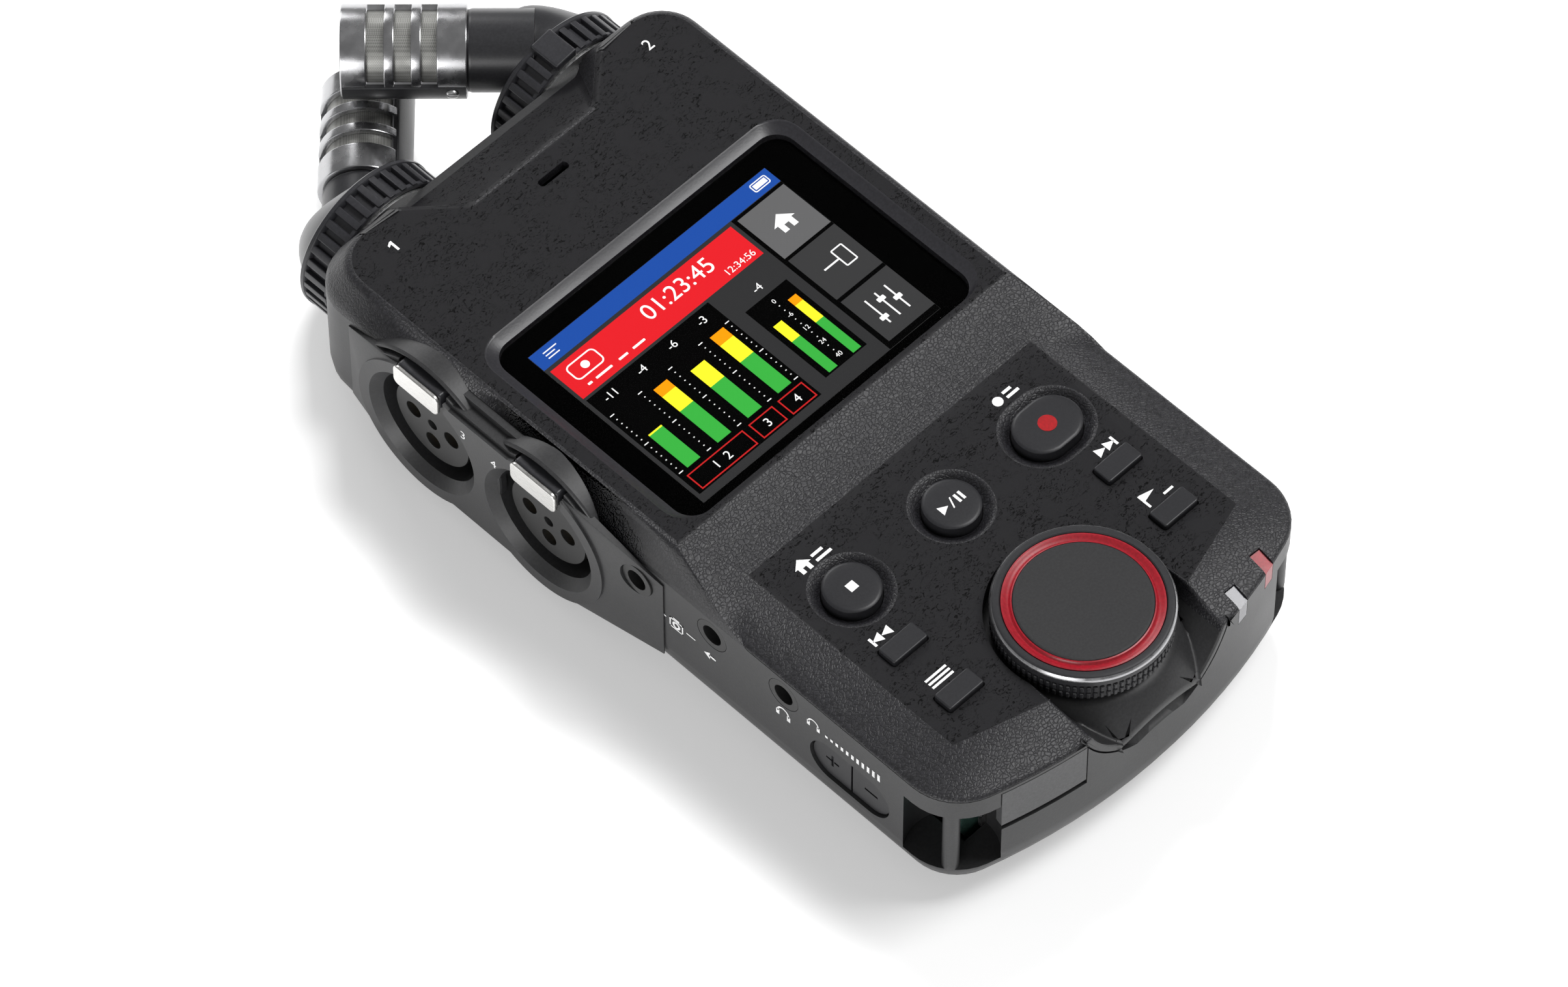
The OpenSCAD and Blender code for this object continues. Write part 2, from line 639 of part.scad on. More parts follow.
module battery_door() color([0.2, 0.2, 0.21]) {
    intersection() {
        rear_outer();
        union() {
            slab(-door_x - 0.5, door_x + 0.5, door_far_y - 0.5, door_near_y - 2.2 * barrel_r, 0, door_t);
            slab(-door_x + 2, door_x - 2, door_near_y - 3 * barrel_r, door_near_y - barrel_r, 0, door_t);
        }
    }
    rod_x(barrel_r, -door_x + 2, door_x - 2, door_near_y - barrel_r, barrel_r);
    slab(-20, 20, door_far_y + 0.2, door_far_y + 1.2, door_t, door_t + 2.4); // catch rib
    for (y = [-24, -44]) slab(-28, 28, y - 0.6, y + 0.6, door_t, door_t + 0.3);
}

module battery_cells() color([0.25, 0.3, 0.28])
    for (i = [-1.5:1:1.5]) at_cell(i) {
        rod_y(cell_r, -cell_l / 2, cell_l / 2, 0, 0);
        rod_y(2.7, cell_l / 2, cell_l / 2 + 0.9, 0, 0);
    }

// Neighbouring cells point opposite ways
module at_cell(i) translate([i * 14.9, (door_near_y + door_far_y) / 2, cell_z])
    rotate([0, 0, abs(i) > 1 ? 0 : 180]) children();

module battery_contacts() color([0.78, 0.78, 0.75])
    for (i = [-1.5:1:1.5]) at_cell(i) {
        rod_y(4, cell_l / 2 + 0.95, cell_l / 2 + 1.45, 0, 0);
        rod_y(4.5, -cell_l / 2 - 1.45, -cell_l / 2 - 0.95, 0, 0);
        rod_y(2.6, -cell_l / 2 - 0.95, -cell_l / 2 - 0.05, 0, 0);
    }

module tripod_nut() color([0.78, 0.62, 0.32])
    difference() {
        union() {
            cylinder(r = 6, h = 6);
            translate([0, 0, 6]) cylinder(r = 5.2, h = 2.6);
        }
        translate([0, 0, -1]) cylinder(r = thread_r, h = thread_l + 1);
    }

// ---------- right side and back ----------

module power_slider() color([0.3, 0.3, 0.31]) {
    slab(half_w - 3.4, half_w - 2, -24.5, -14, 11.4, 16.6);
    slab(half_w - 2, half_w + 0.4, -20.4, -15, 12, 16);
}

module usb_socket() color([0.7, 0.7, 0.72])
    difference() {
        from_right(half_w - 8, half_w - 0.1) translate([8.6, 14.1]) stadium(9, 3.2);
        from_right(half_w - 7, half_w + 1) translate([8.6, 14.1]) stadium(8.3, 2.5);
    }

module from_right(x0, x1) translate([x0, 0, 0]) rotate([90, 0, 90]) linear_extrude(x1 - x0) children();

module adapter_cover() color([0.2, 0.2, 0.21]) {
    difference() {
        slab(half_w - 2, half_w, adapter_y0 + 0.15 + barrel_r, adapter_y1 - 0.15, 9.15, 20.85);
        slab(half_w - 0.6, half_w + 1, adapter_y1 - 6, adapter_y1 - 2, 11, 19); // nail recess
    }
    rod_z(barrel_r, 9.15, 20.85, half_w - barrel_r, adapter_y0 + 0.15 + barrel_r);
}

module adapter_connector() color([0.12, 0.12, 0.12])
    difference() {
        slab(26, half_w - 2.4, 24, 44, 10.8, 18.8);
        slab(30, half_w, 26, 42, 13, 16.8);
        slab(28, half_w, 26, 42, 15, 16);
    }

module speaker() color([0.3, 0.3, 0.32]) {
    translate([0, speaker_y, wall + 0.2]) cylinder(r = 9.5, h = 3.4);
    translate([0, speaker_y, wall + 3.6]) cylinder(r = 6, h = 1.4);
}

module cover_screws() color([0.5, 0.5, 0.52])
    for (p = screw_points) difference() {
        union() {
            rod_z(2, 1, 2.6, p[0], p[1]);
            rod_z(1.15, 2.6, 22, p[0], p[1]);
        }
        rod_z(0.8, 0, 1.8, p[0], p[1], $fn = 6);
    }

// ---------- microphones ----------

// Both microphones are the same part: the left one is the right one turned over
module on_right() children();
module on_left() translate([0, 0, 2 * mic_z]) rotate([0, 180, 0]) children();

module mic_pivot() color([0.55, 0.55, 0.56])
    difference() {
        rod_y(pivot_r - 0.05, 64, 80, mic_x, mic_z);
        rod_y(2.4, 60, 81, mic_x, mic_z);
    }

module mic_washer() color([0.7, 0.7, 0.7])
    difference() {
        rod_y(11.8, mic_end_y, mic_end_y + 1, mic_x, mic_z);
        rod_y(pivot_r, 60, 81, mic_x, mic_z);
    }

module mic_collar() color([0.16, 0.16, 0.17])
    difference() {
        union() {
            rod_y(collar_r - 0.7, collar_y, arm_y, mic_x, mic_z);
            rod_y(collar_r, arm_y - 0.9, arm_y, mic_x, mic_z);
            for (i = [1:tooth_count]) translate([mic_x, 0, mic_z]) rotate([0, i * 360 / tooth_count, 0])
                slab(-0.62, 0.62, collar_y, arm_y - 0.4, 0, collar_r);
            translate([mic_x, 0, mic_z]) rotate([0, -10, 0])
                slab(-1.6, 1.6, collar_y - 0.1, arm_y, 0, collar_r + 0.6);
        }
        rod_y(12.2, 60, mic_end_y + 1.2, mic_x, mic_z);
        rod_y(pivot_r, 60, 90, mic_x, mic_z);
    }

// Lays a shape along a microphone's own axis, which crosses the body at 45 degrees
module along_mic() translate([mic_x, mic_y, mic_z + mic_rise]) rotate([-90, 0, 45]) children();

module mic_arm() color([0.17, 0.17, 0.18])
    difference() {
        union() {
            hull() {
                rod_y(11.6, arm_y, arm_y + 0.6, mic_x, mic_z, $fn = 32);
                rod_y(9.6, arm_y + 2.6, arm_y + 3, mic_x, mic_z + 0.8, $fn = 32);
                along_mic() cylinder(r = 6.2, h = 7, $fn = 32);
            }
            along_mic() cylinder(r = 6.3, h = mic_base);
        }
        rod_y(pivot_r, 60, 80.2, mic_x, mic_z);
        slab(-60, 60, 40, arm_y, -20, 60);
    }

mic_bands = [[0, 4.6], [6.9, 8.5], [11, 12.6], [15.2, mic_l]];

module mic_housing() color([0.75, 0.75, 0.75])
    along_mic() difference() {
        union() {
            for (b = mic_bands) translate([0, 0, mic_base + b[0]]) cylinder(r = mic_r, h = b[1] - b[0]);
            for (a = [0, 180]) rotate(a) intersection() {
                translate([0, 0, mic_base]) cylinder(r = mic_r - 0.15, h = mic_l - 0.2);
                slab(-8, 8, 5.4, 8, mic_base, mic_base + mic_l - 0.2);
            }
        }
        translate([0, 0, mic_base - 1]) cylinder(r = mic_r - 0.95, h = mic_l + 2);
        rotate(180) translate([0, 4, mic_base + 2.3]) rotate([-90, 0, 0]) cylinder(r = 1.1, h = 6);
    }

module mic_capsule() color([0.5, 0.5, 0.5])
    along_mic() {
        translate([0, 0, mic_base]) cylinder(r = mic_r - 1, h = mic_l - 1.2);
        translate([0, 0, mic_base + mic_l - 1.2]) cylinder(r1 = mic_r - 1, r2 = mic_r - 2.2, h = 0.8);
    }

module mic_screw() color([0.8, 0.8, 0.8])
    along_mic() rotate(180) translate([0, mic_r - 0.95, mic_base + 2.3]) rotate([-90, 0, 0])
        cylinder(r = 1, h = 0.8);

module right_mic_pivot() on_right() mic_pivot();
module right_mic_washer() on_right() mic_washer();
module right_mic_collar() on_right() mic_collar();
module right_mic_arm() on_right() mic_arm();
module right_mic_housing() on_right() mic_housing();
module right_mic_capsule() on_right() mic_capsule();
module right_mic_screw() on_right() mic_screw();
module left_mic_pivot() on_left() mic_pivot();
module left_mic_washer() on_left() mic_washer();
module left_mic_collar() on_left() mic_collar();
module left_mic_arm() on_left() mic_arm();
module left_mic_housing() on_left() mic_housing();
module left_mic_capsule() on_left() mic_capsule();
module left_mic_screw() on_left() mic_screw();

front_cover();
rear_cover();
xlr_housing();
display_glass();
lcd_panel();
main_board();
key_board();
tact_switches();
jog_wheel();
jog_ring();
jog_cap();
rotary_encoder();
encoder_shaft();
stop_button();
play_button();
record_button();
previous_button();
next_button();
menu_button();
mark_button();
volume_up_key();
volume_down_key();
xlr_socket_3();
xlr_socket_4();
xlr_contacts_3();
xlr_contacts_4();
xlr_latch_3();
xlr_latch_4();
mic_line_jack();
line_out_jack();
headphone_jack();
card_cover();
card_socket();
memory_card();
record_light_pipe();
peak_light_pipe();
battery_door();
battery_cells();
battery_contacts();
tripod_nut();
power_slider();
usb_socket();
adapter_cover();
adapter_connector();
speaker();
cover_screws();
right_mic_pivot();
right_mic_washer();
right_mic_collar();
right_mic_arm();
right_mic_housing();
right_mic_capsule();
right_mic_screw();
left_mic_pivot();
left_mic_washer();
left_mic_collar();
left_mic_arm();
left_mic_housing();
left_mic_capsule();
left_mic_screw();
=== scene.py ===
import math

import bmesh
import bpy
from mathutils import Matrix, Vector


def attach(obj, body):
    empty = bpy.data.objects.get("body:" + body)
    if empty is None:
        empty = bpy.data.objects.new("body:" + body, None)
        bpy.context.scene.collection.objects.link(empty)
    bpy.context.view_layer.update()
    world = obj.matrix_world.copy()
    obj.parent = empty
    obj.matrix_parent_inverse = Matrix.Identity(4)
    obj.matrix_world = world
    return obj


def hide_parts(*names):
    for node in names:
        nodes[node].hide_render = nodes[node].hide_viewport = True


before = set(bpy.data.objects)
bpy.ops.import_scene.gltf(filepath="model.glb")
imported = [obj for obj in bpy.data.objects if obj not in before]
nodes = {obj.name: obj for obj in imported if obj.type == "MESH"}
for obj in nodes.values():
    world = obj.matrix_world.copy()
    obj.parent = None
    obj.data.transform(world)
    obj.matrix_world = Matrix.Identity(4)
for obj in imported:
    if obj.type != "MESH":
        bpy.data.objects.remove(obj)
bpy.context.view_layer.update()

mm = 0.001  # every size below is in millimetres, and becomes metres as it is used


# selecting, editing and finishing
def useNothing():
    if bpy.context.mode != "OBJECT":
        bpy.ops.object.mode_set(mode="OBJECT")
    bpy.ops.object.select_all(action="DESELECT")


def useOnly(*pieces):
    useNothing()
    for piece in pieces:
        piece.select_set(True)
    bpy.context.view_layer.objects.active = pieces[0]


def edit(piece, kind="VERT"):
    useOnly(piece)
    bpy.ops.object.mode_set(mode="EDIT")
    bpy.ops.mesh.select_mode(type=kind)
    bpy.ops.mesh.select_all(action="DESELECT")


def editAll(piece, kind="VERT"):
    edit(piece, kind)
    bpy.ops.mesh.select_all(action="SELECT")


def editDone():
    bpy.ops.object.mode_set(mode="OBJECT")


def lookOutwards(piece):  # ends an edit with every face looking outwards
    bpy.ops.mesh.select_all(action="SELECT")
    bpy.ops.mesh.normals_make_consistent(inside=False)
    editDone()
    return piece


def pick(piece, kind, test):  # selects the verts, edges or faces that pass the test
    mesh = bmesh.from_edit_mesh(piece.data)
    chosen = [item for item in getattr(mesh, kind) if test(item)]
    for item in chosen:
        item.select_set(True)
    bmesh.update_edit_mesh(piece.data)
    return len(chosen)


def modify(piece, kind, **settings):
    useOnly(piece)
    modifier = piece.modifiers.new(kind.lower(), kind)
    for key, value in settings.items():
        setattr(modifier, key, value)
    bpy.ops.object.modifier_apply(modifier=modifier.name)
    return piece


def combine(piece, others, operation):
    for other in others:
        modify(piece, "BOOLEAN", object=other, operation=operation, solver="EXACT")
        bpy.data.objects.remove(other)
    return piece


def cut(piece, *others):
    return combine(piece, others, "DIFFERENCE")


def fuse(piece, *others):
    return combine(piece, others, "UNION")


def common(piece, *others):
    return combine(piece, others, "INTERSECT")


def gather(name, pieces):  # loose shapes become one piece
    useOnly(*pieces)
    if len(pieces) > 1:
        bpy.ops.object.join()
    bpy.context.object.name = name
    return bpy.context.object


def cleanMesh(piece, merge=0.002, flat=0):
    editAll(piece)
    bpy.ops.mesh.remove_doubles(threshold=merge * mm)
    bpy.ops.mesh.delete_loose(use_verts=True, use_edges=True, use_faces=False)
    bpy.ops.mesh.select_all(action="SELECT")
    bpy.ops.mesh.normals_make_consistent(inside=False)
    if flat:
        bpy.ops.mesh.dissolve_limited(angle_limit=math.radians(flat))
    editDone()
    return piece


def newPiece(name, mesh):
    piece = bpy.data.objects.new(name, mesh)
    bpy.context.scene.collection.objects.link(piece)
    return piece


def moved(piece, shift=(0, 0, 0), turn=None):
    if turn:
        piece.data.transform(turn)
    piece.data.transform(Matrix.Translation(Vector(shift) * mm))
    return piece


def copyOf(piece, name, shift=(0, 0, 0), turn=None):
    return moved(newPiece(name, piece.data.copy()), shift, turn)


def flipped(piece):  # makes the faces look outwards again, as after a mirror
    edit(piece)
    return lookOutwards(piece)


def bevelEdges(piece, width, segments=2, angle=35):
    return modify(piece, "BEVEL", width=width * mm, segments=segments, limit_method="ANGLE",
                  angle_limit=math.radians(angle), use_clamp_overlap=True, harden_normals=False)


def fromNode(node, name, bevel=0.15, angle=35, segments=2):  # a copy of a CAD solid, with its edges eased
    piece = newPiece(name, nodes[node].data.copy())
    cleanMesh(piece, 0.004, 0.4)
    if bevel:
        bevelEdges(piece, bevel, segments, angle)
    return piece


def bevelPicked(piece, width, segments, test):  # rounds only the chosen edges
    edit(piece, "EDGE")
    if pick(piece, "edges", test):
        bpy.ops.mesh.bevel(offset=width * mm, segments=segments, clamp_overlap=False, affect="EDGES")
    editDone()
    return piece


def paint(piece, slotIndex, test):  # gives the chosen faces one of the piece's materials
    edit(piece, "FACE")
    pick(piece, "faces", test)
    piece.active_material_index = slotIndex
    bpy.ops.object.material_slot_assign()
    editDone()
    return piece


def smooth(piece, angle=32):
    useOnly(piece)
    bpy.ops.object.shade_smooth_by_angle(angle=math.radians(angle), keep_sharp_edges=True)
    return piece


def finished(piece, body, slot, *materials, replaces=(), angle=32, weighted=True):
    smooth(piece, angle)
    if weighted:
        modify(piece, "WEIGHTED_NORMAL", keep_sharp=True, weight=60)
    if materials:
        piece.data.materials.clear()
        for material in materials:
            piece.data.materials.append(material)
    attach(piece, body)
    if replaces:
        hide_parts(*replaces)
    return piece


# basic shapes, each from a primitive
def named(name):
    bpy.context.object.name = name
    return bpy.context.object


def slab(name, x0, x1, y0, y1, z0, z1, bevel=0, segments=2):
    useNothing()
    bpy.ops.mesh.primitive_cube_add(size=1)
    piece = named(name)
    piece.data.transform(Matrix.Diagonal(((x1 - x0) * mm, (y1 - y0) * mm, (z1 - z0) * mm, 1)))
    moved(piece, ((x0 + x1) / 2, (y0 + y1) / 2, (z0 + z1) / 2))
    if bevel:
        modify(piece, "BEVEL", width=bevel * mm, segments=segments)
    return piece


alongX = Matrix.Rotation(math.radians(90), 4, "Y")  # turns +Z to +X
alongY = Matrix.Rotation(math.radians(-90), 4, "X")  # turns +Z to +Y


def rod(name, radius, length, at=(0, 0, 0), turn=None, sides=64):
    useNothing()
    bpy.ops.mesh.primitive_cone_add(vertices=sides, radius1=radius * mm, radius2=radius * mm,
                                    depth=length * mm)
    piece = named(name)
    moved(piece, (0, 0, length / 2))
    return moved(piece, at, turn)


def ring(name, points, fill="NOTHING"):  # a loop of vertices on the given points
    useNothing()
    bpy.ops.mesh.primitive_circle_add(vertices=len(points), fill_type=fill)
    piece = named(name)
    for vertex, point in zip(piece.data.vertices, points):
        vertex.co = Vector(point) * mm
    return piece


def hull(name, *rings, bevel=0, segments=3, angle=8):  # the tightest skin round a few rings of points
    piece = ring(name, [point for points in rings for point in points])
    editAll(piece)
    bpy.ops.mesh.convex_hull(join_triangles=False)
    editDone()
    cleanMesh(piece, 0.001, 0.3)
    return bevelEdges(piece, bevel, segments, angle) if bevel else piece


def loft(name, rings):  # the first ring is filled, then extruded onto each following ring
    piece = ring(name, rings[0], "NGON")
    editAll(piece, "FACE")
    for old, new in zip(rings, rings[1:]):
        bpy.ops.mesh.extrude_region_move()
        mesh = bmesh.from_edit_mesh(piece.data)
        goals = [(Vector(a) * mm, Vector(b) * mm) for a, b in zip(old, new)]
        for vertex in mesh.verts:
            if vertex.select:
                vertex.co = min(goals, key=lambda goal: (goal[0] - vertex.co).length_squared)[1]
        bmesh.update_edit_mesh(piece.data)
    return lookOutwards(piece)


def prism(name, outline, z0, z1, bevel=0, segments=2):
    piece = ring(name, [(x, y, z0) for x, y in outline], "NGON")
    editAll(piece, "FACE")
    bpy.ops.mesh.extrude_region_move(TRANSFORM_OT_translate={"value": (0, 0, (z1 - z0) * mm)})
    lookOutwards(piece)
    return bevelEdges(piece, bevel, segments, 50) if bevel else piece


def lathe(name, profile, at=(0, 0, 0), turn=None, steps=96):  # spins a closed outline of (radius, height)
    piece = ring(name, [(r, 0, z) for r, z in profile])
    editAll(piece)
    bpy.ops.mesh.spin(steps=steps, angle=math.tau, center=(0, 0, 0), axis=(0, 0, 1))
    editDone()
    cleanMesh(piece, 0.001)
    return moved(piece, at, turn)


def arc(x, y, radius, start, stop, count):
    turns = [math.radians(start + (stop - start) * i / count) for i in range(count + 1)]
    return [(x + radius * math.cos(a), y + radius * math.sin(a)) for a in turns]


def roundedBox(width, height, radius, x=0, y=0, count=8):
    w, h = width / 2 - radius, height / 2 - radius
    return (arc(x + w, y + h, radius, 0, 90, count) + arc(x - w, y + h, radius, 90, 180, count)
            + arc(x - w, y - h, radius, 180, 270, count) + arc(x + w, y - h, radius, 270, 360, count))


def atHeight(outline, z):
    return [(x, y, z) for x, y in outline]


def fromLeft(piece):  # a shape drawn flat (along, up) turns to face -X
    return moved(piece, (0, 0, 0), Matrix(((0, 0, -1, 0), (1, 0, 0, 0), (0, 1, 0, 0), (0, 0, 0, 1))))


# materials
def principled(name, color, roughness, **sockets):
    material = bpy.data.materials.new(name)
    material.use_nodes = True
    shader = material.node_tree.nodes["Principled BSDF"]
    shader.inputs["Base Color"].default_value = (*color, 1)
    shader.inputs["Roughness"].default_value = roughness
    for socket, value in sockets.items():
        shader.inputs[socket.replace("_", " ")].default_value = value
    return material


def addNode(material, kind, links=(), **values):
    tree = material.node_tree
    node = tree.nodes.new(kind)
    for key, value in values.items():
        if key in node.inputs:
            node.inputs[key].default_value = value
        elif hasattr(node, key):
            setattr(node, key, value)
        else:
            node.inputs[key.replace("_", " ")].default_value = value
    for socket, source in links:
        tree.links.new(source, node.inputs[socket])
    return node


def objectCoords(material, stretch=(1, 1, 1)):
    place = addNode(material, "ShaderNodeTexCoord")
    return addNode(material, "ShaderNodeMapping", [("Vector", place.outputs["Object"])],
                   Scale=stretch).outputs[0]


def ramp(material, source, low, high, colorLow=(0, 0, 0), colorHigh=(1, 1, 1)):
    node = addNode(material, "ShaderNodeValToRGB", [("Fac", source)])
    node.color_ramp.elements[0].position = low
    node.color_ramp.elements[0].color = (*colorLow, 1)
    node.color_ramp.elements[1].position = high
    node.color_ramp.elements[1].color = (*colorHigh, 1)
    return node.outputs["Color"]


def greyRamp(material, source, low, high, dark, light):
    return ramp(material, source, low, high, (dark,) * 3, (light,) * 3)


def toned(color, factor):
    return tuple(min(1, c * factor) for c in color)


def shaderInput(material, socket, source):
    material.node_tree.links.new(source, material.node_tree.nodes["Principled BSDF"].inputs[socket])


def bump(material, height, strength, distance, normal=None):
    links = [("Height", height)] + ([("Normal", normal)] if normal else [])
    return addNode(material, "ShaderNodeBump", links, Strength=strength, Distance=distance).outputs["Normal"]


def mixColor(material, factor, first, second):
    node = material.node_tree.nodes.new("ShaderNodeMix")
    node.data_type = "RGBA"
    for index, value in ((0, factor), (6, first), (7, second)):
        if isinstance(value, tuple):
            node.inputs[index].default_value = (*value, 1)
        else:
            material.node_tree.links.new(value, node.inputs[index])
    return node.outputs[2]


def noise(material, coords, scale, detail=3.0, roughness=0.5, distortion=0.0):
    return addNode(material, "ShaderNodeTexNoise", [("Vector", coords)], Scale=scale, Detail=detail,
                   Roughness=roughness, Distortion=distortion).outputs["Fac"]


def mouldedPlastic(name, color, roughness, grain=0.06):  # fine spark-eroded texture
    material = principled(name, color, roughness)
    coords = objectCoords(material)
    fine = noise(material, coords, 2600, 4)
    broad = noise(material, coords, 45, 3)
    speckle = ramp(material, fine, 0.35, 0.7)
    shine = greyRamp(material, broad, 0.3, 0.7, roughness - 0.05, roughness + 0.05)
    shaderInput(material, "Roughness", shine)
    shaderInput(material, "Base Color", mixColor(material, speckle, toned(color, 0.85), toned(color, 1.2)))
    shaderInput(material, "Normal", bump(material, fine, grain * 10, 0.00002))
    return material


def pittedPlastic(name, color, roughness):  # flat faces: satin with small rough pits, painted darker as painted shade
    material = principled(name, color, roughness, Specular_IOR_Level=0.3)
    coords = objectCoords(material)
    pits = noise(material, objectCoords(material, (1, 1.7, 1)), 1150, 3, 0.6, 1.6)
    scatter = noise(material, coords, 240, 2)
    depth = ramp(material, pits, 0.37, 0.43)
    spread = ramp(material, scatter, 0.48, 0.62)
    spots = addNode(material, "ShaderNodeMath", [(0, depth), (1, spread)], operation="MAXIMUM").outputs[0]
    fine = noise(material, coords, 3200, 3)
    surface = mixColor(material, fine, toned(color, 0.75), toned(color, 1.35))
    # the pits and patches are painted down to a tenth of the colour: painted shade in the pits; their
    # roughness and bump are real
    shaderInput(material, "Base Color", mixColor(material, spots, toned(color, 0.1), surface))
    shaderInput(material, "Roughness", greyRamp(material, spots, 0, 1, 0.95, roughness))
    shaderInput(material, "Normal", bump(material, spots, 0.9, 0.00008, bump(material, fine, 0.35, 0.00003)))
    return material


def leatherPlastic(name, color, roughness):  # moulded leather grain: creases between small cells, painted darker as painted shade
    material = principled(name, color, roughness)
    coords = objectCoords(material, (1, 1.3, 1))
    warp = addNode(material, "ShaderNodeTexNoise", [("Vector", coords)], Scale=520.0, Detail=3.0)
    bent = addNode(material, "ShaderNodeMix", [(4, coords), (5, warp.outputs["Color"])], data_type="VECTOR")
    bent.inputs[0].default_value = 0.0011
    cells = addNode(material, "ShaderNodeTexVoronoi", [("Vector", bent.outputs[1])],
                    feature="DISTANCE_TO_EDGE", Scale=1500.0)
    crease = ramp(material, cells.outputs["Distance"], 0.0, 0.2)
    fine = noise(material, coords, 2600, 3)
    shine = greyRamp(material, fine, 0.2, 0.8, roughness - 0.05, roughness + 0.08)
    shaderInput(material, "Roughness", shine)
    # the creases are painted darker than the cells: painted shade in the creases; the bump below is the real
    # relief
    shaderInput(material, "Base Color", mixColor(material, crease, toned(color, 0.45), toned(color, 1.15)))
    shaderInput(material, "Normal", bump(material, crease, 0.55, 0.00006, bump(material, fine, 0.3, 0.00002)))
    return material


def turnedMetal(name, color, roughness, stretch=(1, 1, 1), strength=0.12, scale=900):  # fine tool lines
    material = principled(name, color, roughness, Metallic=1.0)
    lines = noise(material, objectCoords(material, stretch), scale, 3)
    shine = greyRamp(material, lines, 0.3, 0.7, roughness * 0.75, roughness * 1.3)
    shaderInput(material, "Roughness", shine)
    shaderInput(material, "Base Color", mixColor(material, lines, toned(color, 0.86), toned(color, 1.06)))
    shaderInput(material, "Normal", bump(material, lines, strength, 0.00002))
    return material


def wovenMesh(name, color):  # fine wire cloth behind the slots
    material = principled(name, color, 0.4, Metallic=0.85)
    coords = objectCoords(material)
    wires = addNode(material, "ShaderNodeTexChecker", [("Vector", coords)], Scale=5200).outputs["Fac"]
    tint = noise(material, coords, 300, 2)
    shaderInput(material, "Base Color", mixColor(material, wires, toned(color, 0.55), color))
    shaderInput(material, "Roughness", greyRamp(material, tint, 0.3, 0.7, 0.35, 0.5))
    shaderInput(material, "Normal", bump(material, wires, 0.4, 0.00004))
    return material


def lightSource(name, color, strength):
    material = principled(name, toned(color, 0.25), 0.6, Specular_IOR_Level=0.0, Emission_Color=(*color, 1),
                          Emission_Strength=strength)
    coords = objectCoords(material)
    grid = addNode(material, "ShaderNodeTexChecker", [("Vector", coords)], Scale=8000.0).outputs["Fac"]
    shaderInput(material, "Base Color", mixColor(material, grid, toned(color, 0.2), toned(color, 0.3)))
    return material


look = {
    "deck": (0.007, 0.00675, 0.008), "grain": (0.01496, 0.01462, 0.017), "rear": (0.022, 0.022, 0.023),
    "key": (0.012, 0.012, 0.014), "wheel": (0.014, 0.014, 0.016), "socket": (0.012, 0.012, 0.012),
    "collar": (0.022, 0.022, 0.025), "red": (0.26, 0.006, 0.014),
}
deckPlastic = pittedPlastic("deckPlastic", look["deck"], 0.5)
grainPlastic = leatherPlastic("grainPlastic", look["grain"], 0.42)
rearPlastic = mouldedPlastic("rearPlastic", look["rear"], 0.44)
# the grain plastic made 1.25 times lighter and a little glossier, for the sloped rim round the glass: the
# gloss is the rim's own, the extra lightness is a painted highlight
paintedHighlightPlastic = mouldedPlastic("paintedHighlightPlastic", toned(look["grain"], 1.25), 0.36)
keyPlastic = mouldedPlastic("keyPlastic", look["key"], 0.42, grain=0.03)
wheelPlastic = mouldedPlastic("wheelPlastic", look["wheel"], 0.5, grain=0.03)
socketPlastic = mouldedPlastic("socketPlastic", look["socket"], 0.4, grain=0.03)
collarPlastic = mouldedPlastic("collarPlastic", look["collar"], 0.34, grain=0.02)
armPlastic = mouldedPlastic("armPlastic", (0.018, 0.018, 0.020), 0.32, grain=0.02)
coverPlastic = mouldedPlastic("coverPlastic", (0.06, 0.06, 0.062), 0.5, grain=0.05)
redPlastic = mouldedPlastic("redPlastic", look["red"], 0.34, grain=0.02)
micMetal = turnedMetal("micMetal", (0.46, 0.46, 0.47), 0.24, (1, 1, 1), 0.006, 420)
washerMetal = turnedMetal("washerMetal", (0.72, 0.72, 0.72), 0.4, strength=0.03, scale=2600)
latchMetal = turnedMetal("latchMetal", (0.74, 0.73, 0.71), 0.3, (1, 0.6, 14), 0.2, 900)
steelMetal = turnedMetal("steelMetal", (0.62, 0.62, 0.62), 0.3)
darkSteel = turnedMetal("darkSteel", (0.16, 0.16, 0.17), 0.35)
goldMetal = turnedMetal("goldMetal", (0.85, 0.62, 0.28), 0.25)
brassMetal = turnedMetal("brassMetal", (0.72, 0.52, 0.24), 0.3)
meshMetal = wovenMesh("meshMetal", (0.42, 0.42, 0.40))
boardGreen = mouldedPlastic("boardGreen", (0.01, 0.09, 0.04), 0.3, grain=0.02)
whiteInk = mouldedPlastic("whiteInk", (0.80, 0.80, 0.80), 0.5, grain=0.02)
paleClear = principled("paleClear", (0.15, 0.15, 0.17), 0.14, Transmission_Weight=0.3, IOR=1.49)
cellWrap = mouldedPlastic("cellWrap", (0.06, 0.12, 0.10), 0.28, grain=0.01)
rimMetal = turnedMetal("rimMetal", (0.42, 0.42, 0.43), 0.3, strength=0.03)
capPlastic = mouldedPlastic("capPlastic", (0.017, 0.017, 0.018), 0.62, grain=0.02)
redInk = mouldedPlastic("redInk", (0.30, 0.001, 0.004), 0.4, grain=0.01)
maskBlack = principled("maskBlack", (0.0005, 0.0005, 0.0005), 0.6, Specular_IOR_Level=0.0)
maskNoise = noise(maskBlack, objectCoords(maskBlack), 90)
shaderInput(maskBlack, "Base Color", mixColor(maskBlack, maskNoise, (0.0003,) * 3, (0.0008,) * 3))
clearGlass = principled("clearGlass", (0.002, 0.002, 0.002), 0.04, Alpha=0.06, Specular_IOR_Level=0.2)
glassNoise = noise(clearGlass, objectCoords(clearGlass), 60)
shaderInput(clearGlass, "Roughness", greyRamp(clearGlass, glassNoise, 0.3, 0.8, 0.03, 0.06))
print("materials ready")

